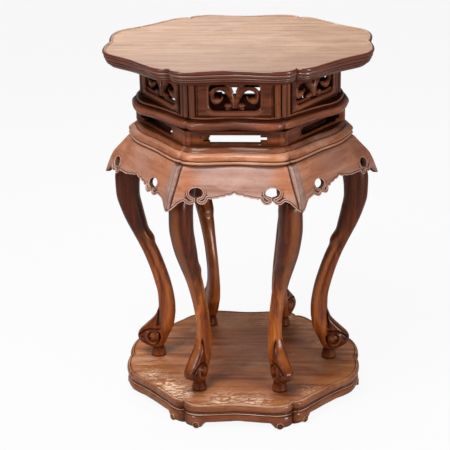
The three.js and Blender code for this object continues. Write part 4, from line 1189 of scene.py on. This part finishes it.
def leg_relief(flat, inner, outer):
    """How far a leg's flank stands out, and its carve level, at [distance from the axis, rise]: painted shade
    in the crease and cuts, painted highlight with wear on the crest.
    """
    rise = flat[:, 1]
    from_ball = flat - SPIRAL_CENTRE
    ball = np.hypot(*from_ball.T)
    turn = np.arctan2(from_ball[:, 1], from_ball[:, 0])
    crease = distance_to(flat, curve_through(LEAF_CREASE, 5))
    under = distance_to(flat, curve_through(LEAF_UNDER, 5))
    deeper, ring_end = fall(rise, 84, 94), fall(rise, 47, 50)
    relief = -2.8 * hump(crease, 0, 2.4) * deeper - 1.8 * hump(under, 0, 1.8)
    level = 1.3 * hump(crease, 0, 2.7) * deeper + 1.1 * hump(under, 0, 2.0)
    ring_cut = hump(ball, 9.4, 2.2) * (0.35 + 0.65 * ease(np.cos(turn + 0.2), -0.2, 0.6))
    relief += 2.6 * np.sqrt(np.clip(1 - (ball / 8.2) ** 2, 0, 1)) - 1.8 * ring_cut
    relief += 1.6 * hump(ball, 13.2, 3.2) * ring_end
    level += ring_cut - 0.5 * hump(ball, 0, 6) - 0.45 * hump(ball, 13, 2.2) * ring_end
    pit = np.hypot(*(flat - SPIRAL_PIT).T)
    relief -= 2.0 * hump(pit, 0, 2.8)
    level += hump(pit, 0, 3.2)
    share = rise / LEG_HEIGHT
    fraction = (flat[:, 0] - inner) / np.maximum(outer - inner, 1)
    from_line = (fraction - np.interp(share, *curve_through(SIDE_LINE, 6).T)) * FLANK_SCALE
    side_cut = hump(from_line, 0, 3.4) * ease(share, 0.27, 0.33) * fall(share, 0.50, 0.58)
    crest = hump((fraction - 0.3) * FLANK_SCALE, 0, 6) * ease(share, 0.12, 0.2) * fall(share, 0.5, 0.62)
    return relief - 0.9 * side_cut + 0.7 * crest, np.clip(level + 0.45 * side_cut - 0.45 * crest, -1, 1)


# Rails of the plinth, with a scroll foot at each end. The face as [share of the height, bulge, carve level]
RAIL_FACE = [[0, -5.2, 0.6], [0.05, -3.4, -0.2], [0.12, -1.9, -0.25], [0.2, -1.2, 0.1], [0.3, -0.4, 0],
             [0.42, 0.1, 0], [0.55, 0, 0], [0.66, -0.7, 0], [0.74, -1.6, 0], [0.8, -2.6, 0.1],
             [0.83, -3.4, 0.3], [0.86, -2.2, 0], [0.9, -0.9, -0.3], [0.94, -0.7, -0.55], [0.97, -1.2, -0.3],
             [1, -3, 0.6]]
RAIL_STEPS = 76
ARCH_RISE = 9.5
FLOOR_GAP = 0.05
VOLUTE_RADIUS = 6.2
VOLUTE_RINGS, VOLUTE_COUNT = 12, 44
GROOVE_HALF = 1.25
FOOT_INSET = {"slanted": 19, "straight": 20.5}
RAIL_STAIN = {"slanted": 0.75, "straight": 0.95}


def add_rail(k):
    length = side_length(k, RAIL_RADIUS)
    foot_inset = FOOT_INSET[side_kind(k)]
    curl = length / 2 - foot_inset
    steps = mitred_steps(k, RAIL_STEPS)
    from_middle = np.abs(steps - 0.5) * length
    lows = ARCH_RISE * fall(from_middle, curl - 16, curl - 4) + 0.8 * hump(from_middle, 0, 16)
    face = [[RAIL_RADIUS + bulge, share] for share, bulge, _ in RAIL_FACE]
    radius, share = np.array([[RAIL_INNER_RADIUS, 0], *face, [RAIL_INNER_RADIUS, 1]]).T
    loops = [raised(side_point(k, t, radius, BASE_LOBES), low + (RAIL_TOP - low) * share)
             for t, low in zip(steps, np.maximum(lows, FLOOR_GAP))]
    near_corner = ease(from_middle, length / 2 - 13, length / 2)
    levels = np.add.outer(0.5 * near_corner, [0, *(level for _, _, level in RAIL_FACE), 0]).ravel()
    at = foot_inset / length
    points, faces, levels = joined([(*loft(loops), levels), volute(k, at, 1), volute(k, 1 - at, -1)])
    add_carved("base_rail_" + SIDE_NAMES[k], points, faces, "base_wood", side_grain(k), levels,
               0.37 * k + 4.3, stain=RAIL_STAIN[side_kind(k)])


def volute(k, t, winding):
    """A scroll foot: a round volute with a spiral groove, square to the rail's own line at t."""
    before, place, after = side_point(k, [t - 0.02, t, t + 0.02], RAIL_RADIUS, BASE_LOBES)
    way = (after - before) / np.linalg.norm(after - before)
    out = np.array([way[1], -way[0]])
    angle = circle(VOLUTE_COUNT)
    turn = (winding * angle) % (2 * math.pi)
    groove = VOLUTE_RADIUS * (0.62 - 0.34 * turn / (2 * math.pi))
    rings = [(VOLUTE_RADIUS, depth, 0.3) for depth in (-9.0, -1.0)]
    for i in range(VOLUTE_RINGS + 1):
        r = VOLUTE_RADIUS * (1 - 0.97 * i / VOLUTE_RINGS)
        cut = hump(r, groove, GROOVE_HALF)
        rings.append((r, 1.0 - 1.2 * cut - 1.2 * ease(r, VOLUTE_RADIUS * 0.8, VOLUTE_RADIUS),
                      cut - 0.25 * hump(r, VOLUTE_RADIUS * 0.85, 1.0)))
    loops, levels = [], []
    for r, depth, level in rings:
        depth, level = np.broadcast_arrays(depth, level, angle)[:2]
        plan = place + way * (r * np.cos(angle))[:, None] + out * depth[:, None]
        loops.append(raised(plan, VOLUTE_RADIUS + r * np.sin(angle)))
        levels.append(level)
    return (*loft(loops), np.concatenate(levels))


def dress_battens():
    """The hidden battens keep their solids and take the waist's wood."""
    for name in ("batten_left", "batten_right"):
        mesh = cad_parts[name].data
        mesh.materials.clear()
        mesh.materials.append(WOODS["waist_wood"])
        store_grain(mesh, (0, 1, 0), 0.77)


# Studio. Lamps as name, place, aim, size, power
LAMPS = [("key", (-0.5, -0.9, 2.2), (0, 0, 0.35), 1.1, 44),
         ("fill", (-1.4, -1.7, 1.0), (0, 0, 0.3), 0.6, 12.5),
         ("side", (1.6, -1.3, 0.55), (0, 0, 0.3), 0.55, 18),
         ("rear", (-0.22, 1.1, 1.45), (0, 0.1, 0.5), 0.9, 8.5)]
AMBIENT = 0.16
PAPER_WHITE = 0.92
FLOOR_REACH = 6.0


def add_camera():
    data = bpy.data.cameras.new("camera")
    data.lens = CAMERA_LENS
    data.sensor_width = SENSOR_WIDTH
    camera = bpy.data.objects.new("camera", data)
    camera.matrix_world = (Matrix.Rotation(CAMERA_TURN, 4, "Z")
                           @ Matrix.Translation((0, -CAMERA_DISTANCE, CAMERA_HEIGHT))
                           @ Matrix.Rotation(CAMERA_YAW, 4, "Z")
                           @ Matrix.Rotation(math.pi / 2 - CAMERA_PITCH, 4, "X")
                           @ Matrix.Rotation(CAMERA_ROLL, 4, "Z"))
    bpy.context.scene.collection.objects.link(camera)
    bpy.context.scene.camera = camera


def add_lamp(name, place, aim, size, power):
    data = bpy.data.lights.new(name, "AREA")
    data.shape = "DISK"
    data.size = size
    data.energy = power
    lamp = bpy.data.objects.new(name, data)
    lamp.location = place
    lamp.rotation_euler = (Vector(aim) - Vector(place)).to_track_quat("-Z", "Y").to_euler()
    bpy.context.scene.collection.objects.link(lamp)


def add_studio():
    """White behind the table, dimmer where it lights the table, and the lamps."""
    world = bpy.data.worlds.new("studio")
    bpy.context.scene.world = world
    world.use_nodes = True
    tree = world.node_tree
    seen = add_node(tree, "LightPath", {}, "Is Camera Ray")
    strength = remap(tree, seen, 0, 1, AMBIENT, 1)
    plug(tree, tree.nodes["Background"], {"Strength": strength, "Color": (1, 1, 1)})
    for lamp in LAMPS:
        add_lamp(*lamp)


def add_floor():
    """Paper that looks nearly as white as the background and takes the table's shadow."""
    mesh = bpy.data.meshes.new("floor")
    corners = [(x * FLOOR_REACH, y * FLOOR_REACH, 0) for x, y in ((-1, -1), (1, -1), (1, 1), (-1, 1))]
    mesh.from_pydata(corners, [], [(0, 1, 2, 3)])
    floor = bpy.data.objects.new("floor", mesh)
    bpy.context.scene.collection.objects.link(floor)
    material, tree, shader = new_material("floor_paper")
    plug(tree, shader, {"Base Color": (0.6, 0.6, 0.6), "Roughness": 0.9})
    seen = add_node(tree, "LightPath", {}, "Is Camera Ray")
    share = combined(tree, "MULTIPLY", seen, PAPER_WHITE)
    glow = add_node(tree, "Emission", {})
    mix = add_node(tree, "MixShader", {"Fac": share, 1: shader.outputs["BSDF"], 2: glow})
    plug(tree, tree.nodes["Material Output"], {"Surface": mix})
    mesh.materials.append(material)


bpy.context.scene.view_settings.view_transform = "Standard"
add_camera()
add_studio()
add_floor()
dress_battens()
add_top()
for add_one in (add_upper_panel, add_corner_post, add_mouldings, add_lower_waist, add_apron):
    for k in range(6):
        add_one(k)
add_legs()
add_plinth_board()
for k in range(6):
    add_rail(k)
